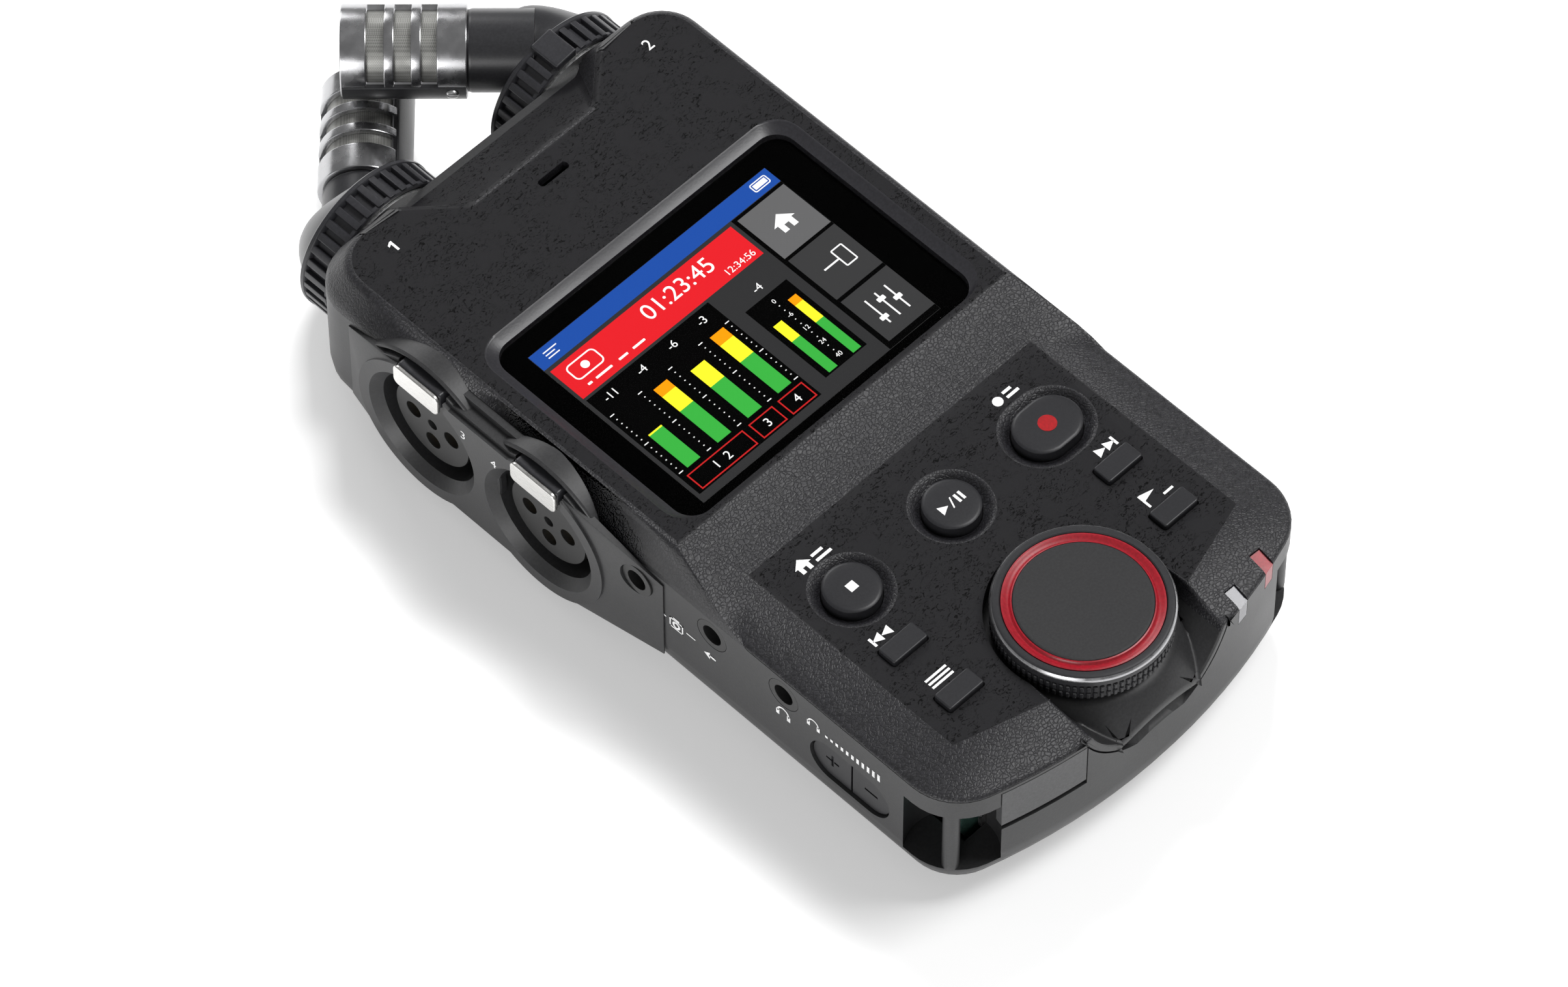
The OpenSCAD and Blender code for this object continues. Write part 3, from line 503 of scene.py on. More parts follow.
# every CAD node gets its material
nodeLooks = [
    (deckPlastic, "front_cover"),
    (rearPlastic, "rear_cover xlr_housing battery_door adapter_cover"),
    (socketPlastic, "lcd_panel xlr_socket_3 xlr_socket_4 mic_line_jack line_out_jack headphone_jack"),
    (socketPlastic, "memory_card adapter_connector speaker display_glass"),
    (boardGreen, "main_board key_board"),
    (wheelPlastic, "jog_wheel jog_cap"),
    (redPlastic, "jog_ring record_light_pipe"),
    (keyPlastic, "stop_button play_button record_button previous_button next_button menu_button"),
    (keyPlastic, "mark_button volume_up_key volume_down_key power_slider"),
    (goldMetal, "xlr_contacts_3 xlr_contacts_4"),
    (latchMetal, "xlr_latch_3 xlr_latch_4"),
    (steelMetal, "tact_switches rotary_encoder encoder_shaft card_socket battery_contacts usb_socket"),
    (coverPlastic, "card_cover"),
    (paleClear, "peak_light_pipe"),
    (cellWrap, "battery_cells"),
    (brassMetal, "tripod_nut"),
    (darkSteel, "cover_screws"),
]
micLooks = [(steelMetal, "pivot"), (washerMetal, "washer"), (collarPlastic, "collar"), (armPlastic, "arm"),
            (micMetal, "housing"), (meshMetal, "capsule"), (steelMetal, "screw")]
for side in ("right", "left"):
    nodeLooks += [(material, side + "_mic_" + part) for material, part in micLooks]
for material, names in nodeLooks:
    for name in names.split():
        nodes[name].data.materials.clear()
        nodes[name].data.materials.append(material)


# the front cover: a raised block for the screen, a lower panel for the buttons, cut as one shell
case = {"halfWidth": 37.4, "panelZ": 28.8, "deckZ": 32, "wall": 1.8, "endRadius": 102, "endCentre": 32,
        "panelHalf": 29.4, "archRadius": 15.3, "archYs": (42.8, 18.2), "archZ": 16.5, "archRoot": -36.8,
        "wheelY": -54, "innerWallX": -32.4}
wheelAt = (0, case["wheelY"], 0)
recess = {"halfTop": 12.6, "halfMouth": 20.5, "start": 59.4, "floorZ": 23.9}
glass = {"width": 59.7, "length": 42.2, "y": 16.9, "z": 31, "corner": 3.6}
buttons = {"stop": -20.6, "play": 0, "record": 20, "row": -27.6, "extra": 1.2}
keys = {"previous": (-22.3, -39.6), "next": (22.3, -39.6), "menu": (-22.3, -50.8), "mark": (22.3, -50.8)}


def outline(inset, count=10):  # the casing seen from the front
    width, mic, corner = case["halfWidth"] - inset, 8 - inset, 9.5 - inset
    radius, x = case["endRadius"] - inset, width - corner
    y = case["endCentre"] - math.sqrt((radius - corner) ** 2 - x * x)
    lean = math.degrees(math.atan2(y - case["endCentre"], x))
    top = 70 - inset - mic
    return (arc(width - mic, top, mic, 0, 90, count) + arc(mic - width, top, mic, 90, 180, count)
            + arc(-x, y, corner, 180, 180 - lean, count)
            + arc(0, case["endCentre"], radius, 180 - lean, 360 + lean, 3 * count)
            + arc(x, y, corner, lean, 0, count))


def block(inset, low, top, corner, z):
    width = case["halfWidth"] - inset
    right = arc(width - corner, top - corner, corner, 0, 90, 10)
    left = arc(corner - width, top - corner, corner, 90, 180, 10)
    return atHeight(right + left + [(-width, low), (width, low)], z)


blockRings = [(0, -23, 70, 8, 26), (0.12, -20.3, 69.95, 8, 27), (0.5, -17.7, 69.6, 8, 28),
              (2.2, -7.9, 67.7, 7, 31.1), (2.6, -6.6, 67.3, 6.8, 31.6), (3.1, -5.7, 66.9, 6.5, 31.9),
              (3.5, -5.1, 66.6, 6.3, 32)]  # inset, low end, top end, corner and height of each ring
panelEdge = [(-case["panelHalf"], 2), (-case["panelHalf"], -56.4), (-13.4, -61.2), (13.4, -61.2),
             (case["panelHalf"], -56.4), (case["panelHalf"], 2)]


def blockHull(name, grow, drop):
    return hull(name, *[block(inset + grow, low + grow, top - grow, max(corner - grow, 2), z - drop)
                        for inset, low, top, corner, z in blockRings])


def panelHull(name, grow, drop, bevel=0):
    lower = [(z, inset) for z, inset in ((26, 0), (26.3, 0.12), (26.6, 0.5))]
    rings = [atHeight([(x, min(y, 2)) for x, y in outline(inset + grow)], z - drop) for z, inset in lower]
    top = [(x * (1 - grow / 30), y + (grow if y < 0 else 0), case["panelZ"] - drop) for x, y in panelEdge]
    return hull(name, *rings, top, bevel=bevel, angle=12)


def dishCutter(name, grow):  # the well round the wheel and the scoop over the bottom end
    profile = [(0, 25.2), (11.5, 25.2), (12.8, 25), (14, 24.2), (15.4, 22.4), (17, 20.4), (18.6, 18.9),
               (20.4, 18.2), (23, 18), (32, 18), (32, 40), (0, 40)]
    scoop = lathe(name, [(r, z - grow if z < 30 else z) for r, z in profile], wheelAt)
    tunnel = rod(name + "Tunnel", 14.5 + grow, 26, (0, -78, case["deckZ"]), alongY, 128)
    well = rod(name + "Well", 14.5 + grow, 20, (0, case["wheelY"], 25.2 - grow), sides=128)
    return fuse(common(scoop, tunnel), well)


def recessCutter(name, grow):
    top, mouth, z = recess["halfTop"] - grow, recess["halfMouth"] + grow, case["deckZ"]
    near, far = recess["start"] - grow, 72
    return hull(name, [(-top, near, z), (top, near, z), (top + 1, near, z + 2), (-top - 1, near, z + 2)],
                [(-mouth, far, recess["floorZ"] - grow), (mouth, far, recess["floorZ"] - grow),
                 (28 + grow, far, z + 2), (-28 - grow, far, z + 2)])


frontCover = fuse(blockHull("frontCover", 0, 0), panelHull("panelBlock", 0, 0, 0.35))
hollow = fuse(blockHull("hollow", 2.2, case["wall"]), panelHull("hollowPanel", 2.2, case["wall"]))
hollow = cut(hollow, recessCutter("recessSkin", 1.8), dishCutter("dishSkin", 1.4),
             slab("ledge", -31.3, 31.3, -5.7, 39.5, 28.4, 30.4))
skin = common(dishCutter("skin", 1.4), prism("skinBlock", outline(0), 12, 27))
cut(frontCover, hollow)
fuse(frontCover, skin)
pocketOutline = roundedBox(glass["width"], glass["length"], glass["corner"], 0, glass["y"])
pocket = prism("pocket", pocketOutline, 29.85, 34)
flareRings = []
for grow, z in ((0, glass["z"]), (1.6, 31.35), (3.1, 31.85), (4.2, 32.15), (5, 33)):
    flareRings.append(atHeight(roundedBox(glass["width"] + grow, glass["length"] + grow * 0.62,
                                          glass["corner"] + grow * 0.3, 0, glass["y"] + grow * 0.17), z))
flare = loft("flare", flareRings)
cut(frontCover, recessCutter("recess", 0), dishCutter("dish", 0), pocket, flare,
    slab("window", -26.5, 24.7, -3.9, 35.7, 20, 31), rod("shaftHole", 5, 20, (0, case["wheelY"], 20)),
    prism("indicator", roundedBox(5.8, 1.4, 0.6, -0.3, 54.7), 20, 34),
    *[rod("arch", case["archRadius"], 10, (-42.4, y, case["archZ"]), alongX, 128) for y in case["archYs"]],
    slab("archGap", -42.4, case["innerWallX"], case["archYs"][1], case["archYs"][0], 2, 30.3),
    *[slab("latchRoom", -60, case["innerWallX"], y - 4.9, y + 4.9, 25.9, 30.5) for y in case["archYs"]],
    slab("lightGap1", 24.8, 27, -80, -63.5, 22, 30), slab("lightGap2", 17.6, 19.8, -80, -65.3, 22, 30))
hollowProfile = [(0, 20), (4.65, 20), (4.65, 27.5), (4.9, 27.62), (5.3, 27.95), (5.8, 28.4), (6.3, 28.72),
                 (7.2, 28.95), (7.2, 31), (0, 31)]


def widened(piece, extra):  # draws a round shape out sideways
    for vertex in piece.data.vertices:
        if abs(vertex.co.x) > 1e-5:
            vertex.co.x += math.copysign(extra * mm, vertex.co.x)
    return piece


for name in ("stop", "play", "record"):
    bowl = lathe("bowl", hollowProfile, steps=72)
    if name == "record":
        cleanMesh(widened(bowl, buttons["extra"]), 0.001)
    cut(frontCover, moved(bowl, (buttons[name], buttons["row"], 0)))
for x, y in keys.values():
    cut(frontCover, prism("keyHole", roundedBox(7.3, 3.8, 0.5, x, y, 4), 20, 40))
cleanMesh(frontCover, 0.002, 0.2)


def between(value, low, high):
    return low * mm <= value <= high * mm


def recessEdge(edge):  # the lip between the deck and the recess
    a, b = (vertex.co for vertex in edge.verts)
    middle = (a + b) / 2
    return (min(a.z, b.z) > 25 * mm and between(middle.y, 59.2, 70) and abs(middle.x) < 26 * mm
            and len(edge.link_faces) == 2 and edge.calc_face_angle(0) > 0.2
            and all(face.normal.z > 0.2 for face in edge.link_faces) and between(middle.z, 26.5, 32.1))


def dishEdge(edge):  # the ridges and the lip of the scoop
    middle = (edge.verts[0].co + edge.verts[1].co) / 2
    return (middle.y < -57 * mm and abs(middle.x) < 16.5 * mm and between(middle.z, 17.8, 29)
            and len(edge.link_faces) == 2 and edge.calc_face_angle(0) > 0.6
            and math.hypot(middle.x, middle.y + 0.054) > 0.0149 and edge.calc_length() < 0.02)


bevelPicked(frontCover, 0.9, 4, recessEdge)
bevelPicked(frontCover, 0.45, 3, dishEdge)
finished(frontCover, "body", "casing", grainPlastic, deckPlastic, paintedHighlightPlastic, rearPlastic,
         replaces=("front_cover",), angle=28)


def isDeck(face):
    return face.normal.z > 0.985 and face.calc_center_median().z > 28.7 * mm


def isRecess(face):
    middle = face.calc_center_median()
    return middle.y > 59 * mm and abs(middle.x) < 24 * mm and face.normal.z > 0.6 and middle.z < 31.9 * mm


def isGlassRim(face):
    middle = face.calc_center_median()
    return (0.25 < face.normal.z < 0.97 and between(middle.z, 31.02, 32.2) and abs(middle.x) < 32.5 * mm
            and between(middle.y, -5, 40))


def isUnderside(face):
    return face.normal.z < -0.05 or face.calc_center_median().z < 25.4 * mm


# slot 2 puts the lighter copy with the painted highlight on the rim round the glass
for slotIndex, test in ((1, isDeck), (1, isRecess), (2, isGlassRim), (3, isUnderside)):
    paint(frontCover, slotIndex, test)
print("front cover ready")

# the rear cover, the socket housing and the doors keep their CAD shapes, with eased edges
finished(fromNode("rear_cover", "rearCover", 0.22, 40), "body", "rear_casing", rearPlastic,
         replaces=("rear_cover",), angle=28)
archProfile = [(14.6, 0), (15.25, 0), (15.25, 1), (15.15, 1.3), (15, 1.45), (14.8, 1.45), (14.65, 1.3),
               (14.6, 1)]
arches = []
for y in case["archYs"]:
    rib = lathe("arch", archProfile, steps=120)
    moved(rib, (0, 0, 0), Matrix.Rotation(math.radians(-90), 4, "Y"))  # +Z turns to -X
    lower = slab("lower", -60, 60, -60, 60, -60, -3)
    arches.append(moved(cut(rib, lower), (case["archRoot"], y, case["archZ"])))
housing = gather("socketHousing", [fromNode("xlr_housing", "socketHousing", 0.35, 22, 3)] + arches)
finished(housing, "body", "rear_casing", rearPlastic, replaces=("xlr_housing",), angle=28)
easedPieces = [  # CAD node, piece, width of the eased edges, body, slot and material
    ("battery_door", "batteryDoor", 0.2, "battery_lid", "rear_casing", rearPlastic),
    ("adapter_cover", "adapterCover", 0.3, "adapter_flap", "rear_casing", rearPlastic),
    ("card_cover", "cardCover", 0.2, "card_flap", "grey_plastic", coverPlastic),
    ("power_slider", "powerSlider", 0.3, "power_knob", "key_plastic", keyPlastic),
]
for number in ("3", "4"):
    easedPieces += [("xlr_socket_" + number, "socket" + number, 0.2, "body", "socket_plastic", socketPlastic),
                    ("xlr_contacts_" + number, "contacts" + number, 0.12, "body", "gold_contact", goldMetal)]
for name, node in (("micLineJack", "mic_line_jack"), ("lineOutJack", "line_out_jack"),
                   ("headphoneJack", "headphone_jack")):
    easedPieces.append((node, name, 0.25, "body", "socket_plastic", socketPlastic))
for node, name, bevel, owner, slotName, material in easedPieces:
    finished(fromNode(node, name, bevel, 40), owner, slotName, material, replaces=(node,))
print("covers and sockets ready")

# the latch plates: a brushed plate with round corners on a dark shelf
latch = {"width": 9.4, "low": 26.1, "high": 30.3, "face": -40.4, "thick": 0.7, "shelfEnd": -35.2}
latchMiddle, latchHeight = (latch["low"] + latch["high"]) / 2, latch["high"] - latch["low"]
for y, number in zip(case["archYs"], ("3", "4")):
    face = roundedBox(latch["width"], latchHeight, 1.1, y, latchMiddle)
    plate = fromLeft(prism("latchPlate" + number, face, 0, latch["thick"]))
    moved(plate, (latch["face"] + latch["thick"], 0, 0))
    bevelEdges(plate, 0.22, 3, 50)
    shelf = slab("latchShelf" + number, latch["face"] + latch["thick"], latch["shelfEnd"],
                 y - 4.5, y + 4.5, 26.9, 30.2, 0.5, 3)
    hook = slab("latchHook" + number, -35.4, -34.6, y - 2, y + 2, 26.2, 27.7, 0.2)
    finished(plate, "latch_" + number, "latch_steel", latchMetal, replaces=("xlr_latch_" + number,))
    finished(gather("latchShelf" + number, [shelf, hook]), "latch_" + number, "socket_plastic", collarPlastic)
print("latches ready")

# the thumb wheel
wheel = {"pads": 84, "steps": 144}
body = lathe("jogWheel", [(3, 26.4), (12.9, 26.4), (13.15, 26.6), (13.15, 29.7), (13.45, 29.9), (13.6, 30.1),
                          (13.6, 31.1), (13.5, 31.45), (13.25, 31.72), (12.9, 31.85), (12.25, 31.85),
                          (12.08, 31.7), (11.98, 30.9), (10.2, 30.9), (10.2, 31.2), (3, 31.2)],
             wheelAt, steps=wheel["steps"])
pad = slab("pad", 12.9, 13.5, -0.3, 0.3, 26.7, 27.9, 0.12, 1)
pads = gather("pads", [pad, copyOf(pad, "pad", (0, 0, 1.5))])
padTurns = [Matrix.Rotation(math.tau * step / wheel["pads"], 4, "Z") for step in range(wheel["pads"])]
padRow = [copyOf(pads, "pad", (0, 0, 0), turn) for turn in padTurns]
bpy.data.objects.remove(pads)
knurl = moved(gather("jogKnurl", padRow), wheelAt)
finished(body, "jog", "wheel_plastic", wheelPlastic, replaces=("jog_wheel",))
finished(knurl, "jog", "wheel_plastic", wheelPlastic)
rim = lathe("jogRim", [(13.62, 31.05), (13.63, 31.2), (13.53, 31.48), (13.3, 31.72), (13.2, 31.65),
                       (13.4, 31.4), (13.45, 31.1)], wheelAt, steps=wheel["steps"])
finished(rim, "jog", "wheel_plastic", rimMetal)
redRing = lathe("jogRing", [(10.35, 31), (11.95, 31), (11.95, 31.72), (11.7, 31.78), (11.35, 31.62),
                            (11.05, 31.42), (10.85, 31.4), (10.7, 31.5), (10.55, 31.72), (10.35, 31.78)],
                wheelAt, steps=wheel["steps"])
finished(redRing, "jog", "red_plastic", redPlastic, replaces=("jog_ring",))
jogCap = lathe("jogCap", [(0, 31.2), (10.3, 31.2), (10.3, 31.72), (10.22, 31.86), (10.05, 31.94),
                          (9.8, 31.96), (0, 31.98)], wheelAt, steps=wheel["steps"])
finished(jogCap, "jog", "wheel_plastic", capPlastic, replaces=("jog_cap",))
print("wheel ready")

# the buttons and keys
domeProfile = [(0, 24), (1, 24), (1, 25), (5.3, 25), (5.3, 26.2), (4.5, 26.2), (4.5, 29.15), (4.42, 29.4),
               (4.2, 29.56), (3.9, 29.62), (3, 29.67), (0, 29.7)]
for name, joint in (("stop", "stop_key"), ("play", "play_key"), ("record", "record_key")):
    cap = lathe(name + "Button", domeProfile, steps=72)
    if name == "record":
        cleanMesh(widened(cap, buttons["extra"]), 0.001, 0.2)
    moved(cap, (buttons[name], buttons["row"], 0))
    finished(cap, joint, "key_plastic", keyPlastic, replaces=(name + "_button",))
for name, (x, y) in keys.items():
    top = prism(name + "Key", roundedBox(7, 3.5, 0.45, x, y, 4), 25.2, 29.7)
    bevelEdges(top, 0.28, 3, 50)
    flange = prism("flange", roundedBox(8.4, 4.7, 0.5, x, y, 3), 25, 26.2)
    stem = rod("stem", 0.9, 1.2, (x, y, 24), sides=24)
    finished(gather(name + "Key", [top, flange, stem]), name + "_key", "key_plastic", keyPlastic,
             replaces=(name + "_button",))
for name, node, sign in (("volumeUpKey", "volume_up_key", 1), ("volumeDownKey", "volume_down_key", -1)):
    key = fromNode(node, name, 0.3, 40, 3)
    y, z, outside, inside = -43.8 + sign * 3.9, 14.6, -37.3, -36.85
    marks = [slab("mark", outside, inside, y - 1.3, y + 1.3, z - 0.22, z + 0.22)]
    if sign > 0:
        marks.append(slab("mark", outside, inside, y - 0.22, y + 0.22, z - 1.3, z + 1.3))
    cut(key, *[moved(m, (0.25, 0, 0)) for m in marks])
    finished(key, "volume_up" if sign > 0 else "volume_down", "key_plastic", keyPlastic, replaces=(node,))
print("buttons ready")

# the microphones: the right one is made, and the left one is the same turned over
mic = {"x": 19.8, "z": 16, "collarY": 70.3, "armY": 76.1, "axisY": 76.7, "rise": 7.5,
       "base": 12.1, "length": 19.2, "radius": 7.15, "teeth": 34, "spine": 157}
bands = [(0, 4.6), (6.9, 8.5), (11, 12.6), (15.2, 19.2)]
micTurn = (Matrix.Translation(Vector((mic["x"], mic["axisY"], mic["z"] + mic["rise"])) * mm)
           @ Matrix.Rotation(math.radians(45), 4, "Z") @ alongY)  # a microphone's own axis
collarTurn = Matrix.Translation(Vector((mic["x"], mic["collarY"], mic["z"])) * mm) @ alongY


def makeCollar():
    profile = [(12.2, 0), (12.7, 0), (12.85, 0.15), (12.85, 0.7), (12.3, 0.9), (12.3, 4.5), (13, 4.75),
               (13.2, 5), (13.2, 5.55), (12.95, 5.8), (4.6, 5.8), (4.6, 1), (12.2, 1)]
    collar = lathe("rightCollar", profile, steps=136)
    rib = slab("rib", 12, 13.1, -0.62, 0.62, 0.05, 5, 0.22, 2)
    ribs = [copyOf(rib, "rib", (0, 0, 0), Matrix.Rotation(math.tau * step / mic["teeth"], 4, "Z"))
            for step in range(mic["teeth"]) if step not in (0, 1)]
    bpy.data.objects.remove(rib)
    index = slab("index", 12, 13.75, -2.1, 2.1, -0.1, 5.75, 0.35, 3)
    index.data.transform(Matrix.Rotation(math.radians(5.3), 4, "Z"))
    piece = gather("rightCollar", [collar] + ribs + [index])
    piece.data.transform(collarTurn @ Matrix.Rotation(math.radians(-105), 4, "Z"))
    return flipped(piece)


def makeArm():
    start = Vector((mic["x"], mic["armY"], mic["z"]))
    end = Vector((mic["x"], mic["axisY"], mic["z"] + mic["rise"]))
    lean = Matrix.Rotation(math.radians(45), 3, "Z") @ Vector((0, 1, 0))
    domeRadius, tubeRadius, steps, sides = 11.7, 6.4, 8, 64
    rings = []
    for step in range(steps + 1):  # a dome that swells out of the collar, then leans over to the tube
        part = step / steps
        turn = Vector((0, 1, 0)).lerp(lean, part ** 1.3).normalized()
        centre = (start + Vector((0, 1, 0)) * 5.6 * part).lerp(end + lean * 4.5, part ** 1.5)
        radius = domeRadius + (tubeRadius - domeRadius) * (part ** 1.15)
        side = turn.cross(Vector((0, 0, 1))).normalized()
        up = side.cross(turn)
        rings.append([tuple(centre + (side * math.cos(a) + up * math.sin(a)) * radius)
                      for a in (math.tau * i / sides for i in range(sides))])
    dome = loft("rightArm", rings)
    tubeProfile = [(0, 2), (tubeRadius, 2), (tubeRadius, 11.5), (6.2, 12.05), (0, 12.05)]
    tube = lathe("armTube", tubeProfile, steps=sides)
    tube.data.transform(micTurn)
    return flipped(gather("rightArm", [dome, tube]))


def makeHousing():
    outer, inner, base = mic["radius"], mic["radius"] - 0.95, mic["base"]
    rings = []
    for start, stop in bands:
        low, high = base + start, base + stop
        rings.append(lathe("band", [(inner, low), (outer - 0.25, low), (outer - 0.07, low + 0.07),
                                    (outer, low + 0.25), (outer, high - 0.25), (outer - 0.07, high - 0.07),
                                    (outer - 0.25, high), (inner, high)], steps=96))
    shell = gather("rightHousing", rings)
    low, high, face = base + 0.3, base + mic["length"] - 0.3, outer - 0.12
    for turn in (mic["spine"] + 180, mic["spine"]):
        tube = lathe("post", [(inner, low), (face, low), (face, high), (inner, high)], steps=96)
        post = common(tube, slab("side", 0, 9, -2.6, 2.6, 0, 40))
        post.data.transform(Matrix.Rotation(math.radians(turn), 4, "Z"))
        shell = gather("rightHousing", [shell, post])
    shell.data.transform(micTurn)
    return flipped(shell)


def makeSpine():  # the dark strip on the underside, with the screw in it
    inner, outer = mic["radius"] - 0.5, mic["radius"] + 0.18
    low, high = mic["base"] + 0.2, mic["base"] + mic["length"] - 0.2
    tube = lathe("rightSpine", [(inner, low), (outer, low), (outer, high), (inner, high)], steps=192)
    strip = common(tube, slab("side", 0, 9, -2.9, 2.9, 0, 40))
    bevelEdges(strip, 0.15, 2, 50)
    strip.data.transform(micTurn @ Matrix.Rotation(math.radians(mic["spine"]), 4, "Z"))
    return strip


def makeCapsule():
    radius, low, high = mic["radius"] - 1, mic["base"] + 0.1, mic["base"] + mic["length"]
    profile = [(0, low), (radius, low), (radius, high - 1.6), (radius - 0.3, high - 1),
               (radius - 1.1, high - 0.55), (radius - 2.5, high - 0.35), (0, high - 0.3)]
    capsule = lathe("rightCapsule", profile, steps=96)
    capsule.data.transform(micTurn)
    return capsule


def makeScrew():
    screw = lathe("rightScrew", [(0, 0), (1, 0), (1, 0.5), (0.85, 0.72), (0.5, 0.85), (0, 0.88)], steps=32)
    slot = slab("slot", -1.2, 1.2, -0.14, 0.14, 0.6, 1.2)
    cut(screw, slot)
    seat = Matrix.Translation(Vector((mic["radius"] - 0.15, 0, mic["base"] + 2.3)) * mm)
    screw.data.transform(micTurn @ Matrix.Rotation(math.radians(mic["spine"] + 12), 4, "Z") @ seat @ alongX)
    return screw


def makeWasher():
    return lathe("rightWasher", [(4.6, 0), (11.8, 0), (11.8, 0.85), (11.65, 1), (4.75, 1), (4.6, 0.85)],
                 (mic["x"], 70, mic["z"]), alongY)


turnOver = Matrix.Translation((0, 0, 2 * mic["z"] * mm)) @ Matrix.Rotation(math.pi, 4, "Y")
micPieces = [(makeCollar, "Collar", "collar_plastic", collarPlastic, ("_mic_collar",)),
             (makeArm, "Arm", "collar_plastic", armPlastic, ("_mic_arm",)),
             (makeHousing, "Housing", "housing_metal", micMetal, ("_mic_housing",)),
             (makeSpine, "Spine", "collar_plastic", armPlastic, ()),
             (makeCapsule, "Capsule", "mesh_steel", meshMetal, ("_mic_capsule",)),
             (makeScrew, "Screw", "screw_steel", steelMetal, ("_mic_screw",)),
             (makeWasher, "Washer", "washer_metal", washerMetal, ("_mic_washer",))]
for make, part, slotName, material, replaced in micPieces:
    rightPiece = make()
    rightPiece.name = "right" + part
    leftPiece = newPiece("left" + part, rightPiece.data.copy())
    leftPiece.data.transform(turnOver)
    for side, piece in (("right", rightPiece), ("left", leftPiece)):
        owner = "body" if part == "Washer" else side + "_mic"
        finished(piece, owner, slotName, material, replaces=[side + node for node in replaced], angle=35)
print("microphones ready")

# the display: black mask, lit picture and clear cover
screen = {"left": -0.9 - 24.48, "top": 16.0 + 18.36, "unit": 0.102, "z": 29.905, "layer": 0.012}
iconLow, iconTop = screen["z"] + 0.025, screen["z"] + 0.035
glow = {
    "blue": (0.016, 0.075, 0.36), "red": (0.74, 0.017, 0.024), "green": (0.045, 0.42, 0.055),
    "yellow": (1.0, 0.93, 0.03), "orange": (1.0, 0.33, 0.005), "white": (0.92, 0.92, 0.92),
    "black": (0.0015, 0.0015, 0.0015), "dark": (0.032, 0.032, 0.033), "mid": (0.044, 0.044, 0.045),
    "pale": (0.128, 0.128, 0.13), "line": (0.55, 0.02, 0.02),
}
shapes = {name: [] for name in glow}


def onScreen(u, v):
    return screen["left"] + u * screen["unit"], screen["top"] - v * screen["unit"]


def patch(color, u0, v0, u1, v1, level=1, corner=0.0):
    x0, y1 = onScreen(u0, v0)
    x1, y0 = onScreen(u1, v1)
    z = screen["z"] + level * screen["layer"]
    if corner:
        points = roundedBox(x1 - x0, y1 - y0, corner * screen["unit"], (x0 + x1) / 2, (y0 + y1) / 2, 5)
    else:
        points = [(x0, y0), (x1, y0), (x1, y1), (x0, y1)]
    shapes[color].append(prism("patch", points, z - 0.01, z))


def frameBox(color, u0, v0, u1, v1, thick=1.6, level=2, corner=0.0, inside="black"):
    patch(color, u0, v0, u1, v1, level, corner)
    patch(inside, u0 + thick, v0 + thick, u1 - thick, v1 - thick, level + 1, max(corner - thick, 0))


def letters(words, size, thick, at, align="CENTER"):  # digits as a thin raised print
    useNothing()
    bpy.ops.object.text_add()
    text = named("print")
    text.data.body, text.data.size = words, size * mm
    text.data.align_x, text.data.align_y = align, "CENTER"
    text.data.extrude = thick * mm / 2
    text.data.resolution_u = 6
    useOnly(text)
    bpy.ops.object.convert(target="MESH")
    return moved(named("print"), at)


def digits(words, size, u, v, level=3, color="white", align="CENTER"):
    x, y = onScreen(u, v)
    shapes[color].append(letters(words, size, 0.008, (x, y, screen["z"] + level * screen["layer"]),
                                 align=align))


patch("dark", 0, 0, 481, 358, 0)
patch("black", 378, 34, 481, 358, 1)
patch("blue", 0, 0, 481, 33, 2)
patch("red", 5, 40, 371, 108, 2)
patch("black", 6, 113, 252, 344, 1)
patch("black", 277, 164, 361, 328, 1)
patch("pale", 385, 40, 480, 137, 2)
patch("mid", 386, 143, 481, 242, 2)
patch("mid", 387, 249, 481, 347, 2)
frameBox("white", 440, 7, 472, 24, 2, 3, 4, "blue")
patch("white", 444, 11, 468, 20, 5)
for step, length in enumerate((26, 18, 22)):  # three sliders
    patch("white", 20, 9 + 6 * step, 20 + length, 11 + 6 * step, 3)
frameBox("white", 22, 50, 78, 82, 2.6, 3, 9, "red")
patch("white", 43, 59, 57, 73, 5, 7)
digits("01:23:45", 4.1, 238, 66)
digits("12:34:56", 1.75, 364, 96, align="RIGHT")
for start, length in ((28, 8), (44, 32), (90, 17.6), (118, 24)):
    patch("white", start, 93, start + length, 97, 3, 1)
meters = [(26, 52, 219, 222, 219, 299), (87, 114, 168, 222, 186, 299), (148, 176, 182, 223, 182, 299),
          (209, 236, 160, 222, 181, 299), (287, 304, 211, 249, 211, 325), (336, 352, 192, 249, 207, 325)]
for u0, u1, top, greenTop, yellowTop, foot in meters:
    patch("green", u0, greenTop, u1, foot, 3)
    patch("yellow", u0, yellowTop, u1, greenTop, 3)
    if yellowTop > top:
        patch("orange", u0, top, u1, yellowTop, 3)
for (u0, u1, *_), level in zip(meters, ("-11", "-4", "-6", "-3")):
    digits(level, 2.0, (u0 + u1) / 2, 131)
digits("-4", 2.0, 320, 146)
for u in (14, 70, 131, 192, 246):  # scales beside the meters
    for step in range(15):
        wide = 8 if step % 7 == 0 else 2.2
        patch("white", u - wide / 2, 158 + step * 10 - 0.8, u + wide / 2, 158 + step * 10 + 0.8, 3)
for step, level in enumerate(("0", "-6", "12", "24", "40")):
    v = 180 + step * 33
    digits(level, 1.15, 320, v)
    for shift in (11, 22) if step < 4 else ():
        patch("white", 319, v + shift - 0.8, 321, v + shift + 0.8, 3)
for u0, u1 in ((15, 127), (139, 187), (198, 247)):
    frameBox("line", u0, 308, u1, 341, 2.2, 3)
digits("1  2", 2.2, 71, 325, 5)
digits("3", 2.2, 163, 325, 5)
digits("4", 2.2, 222.5, 325, 5)
houseX, houseY = onScreen(433, 88)
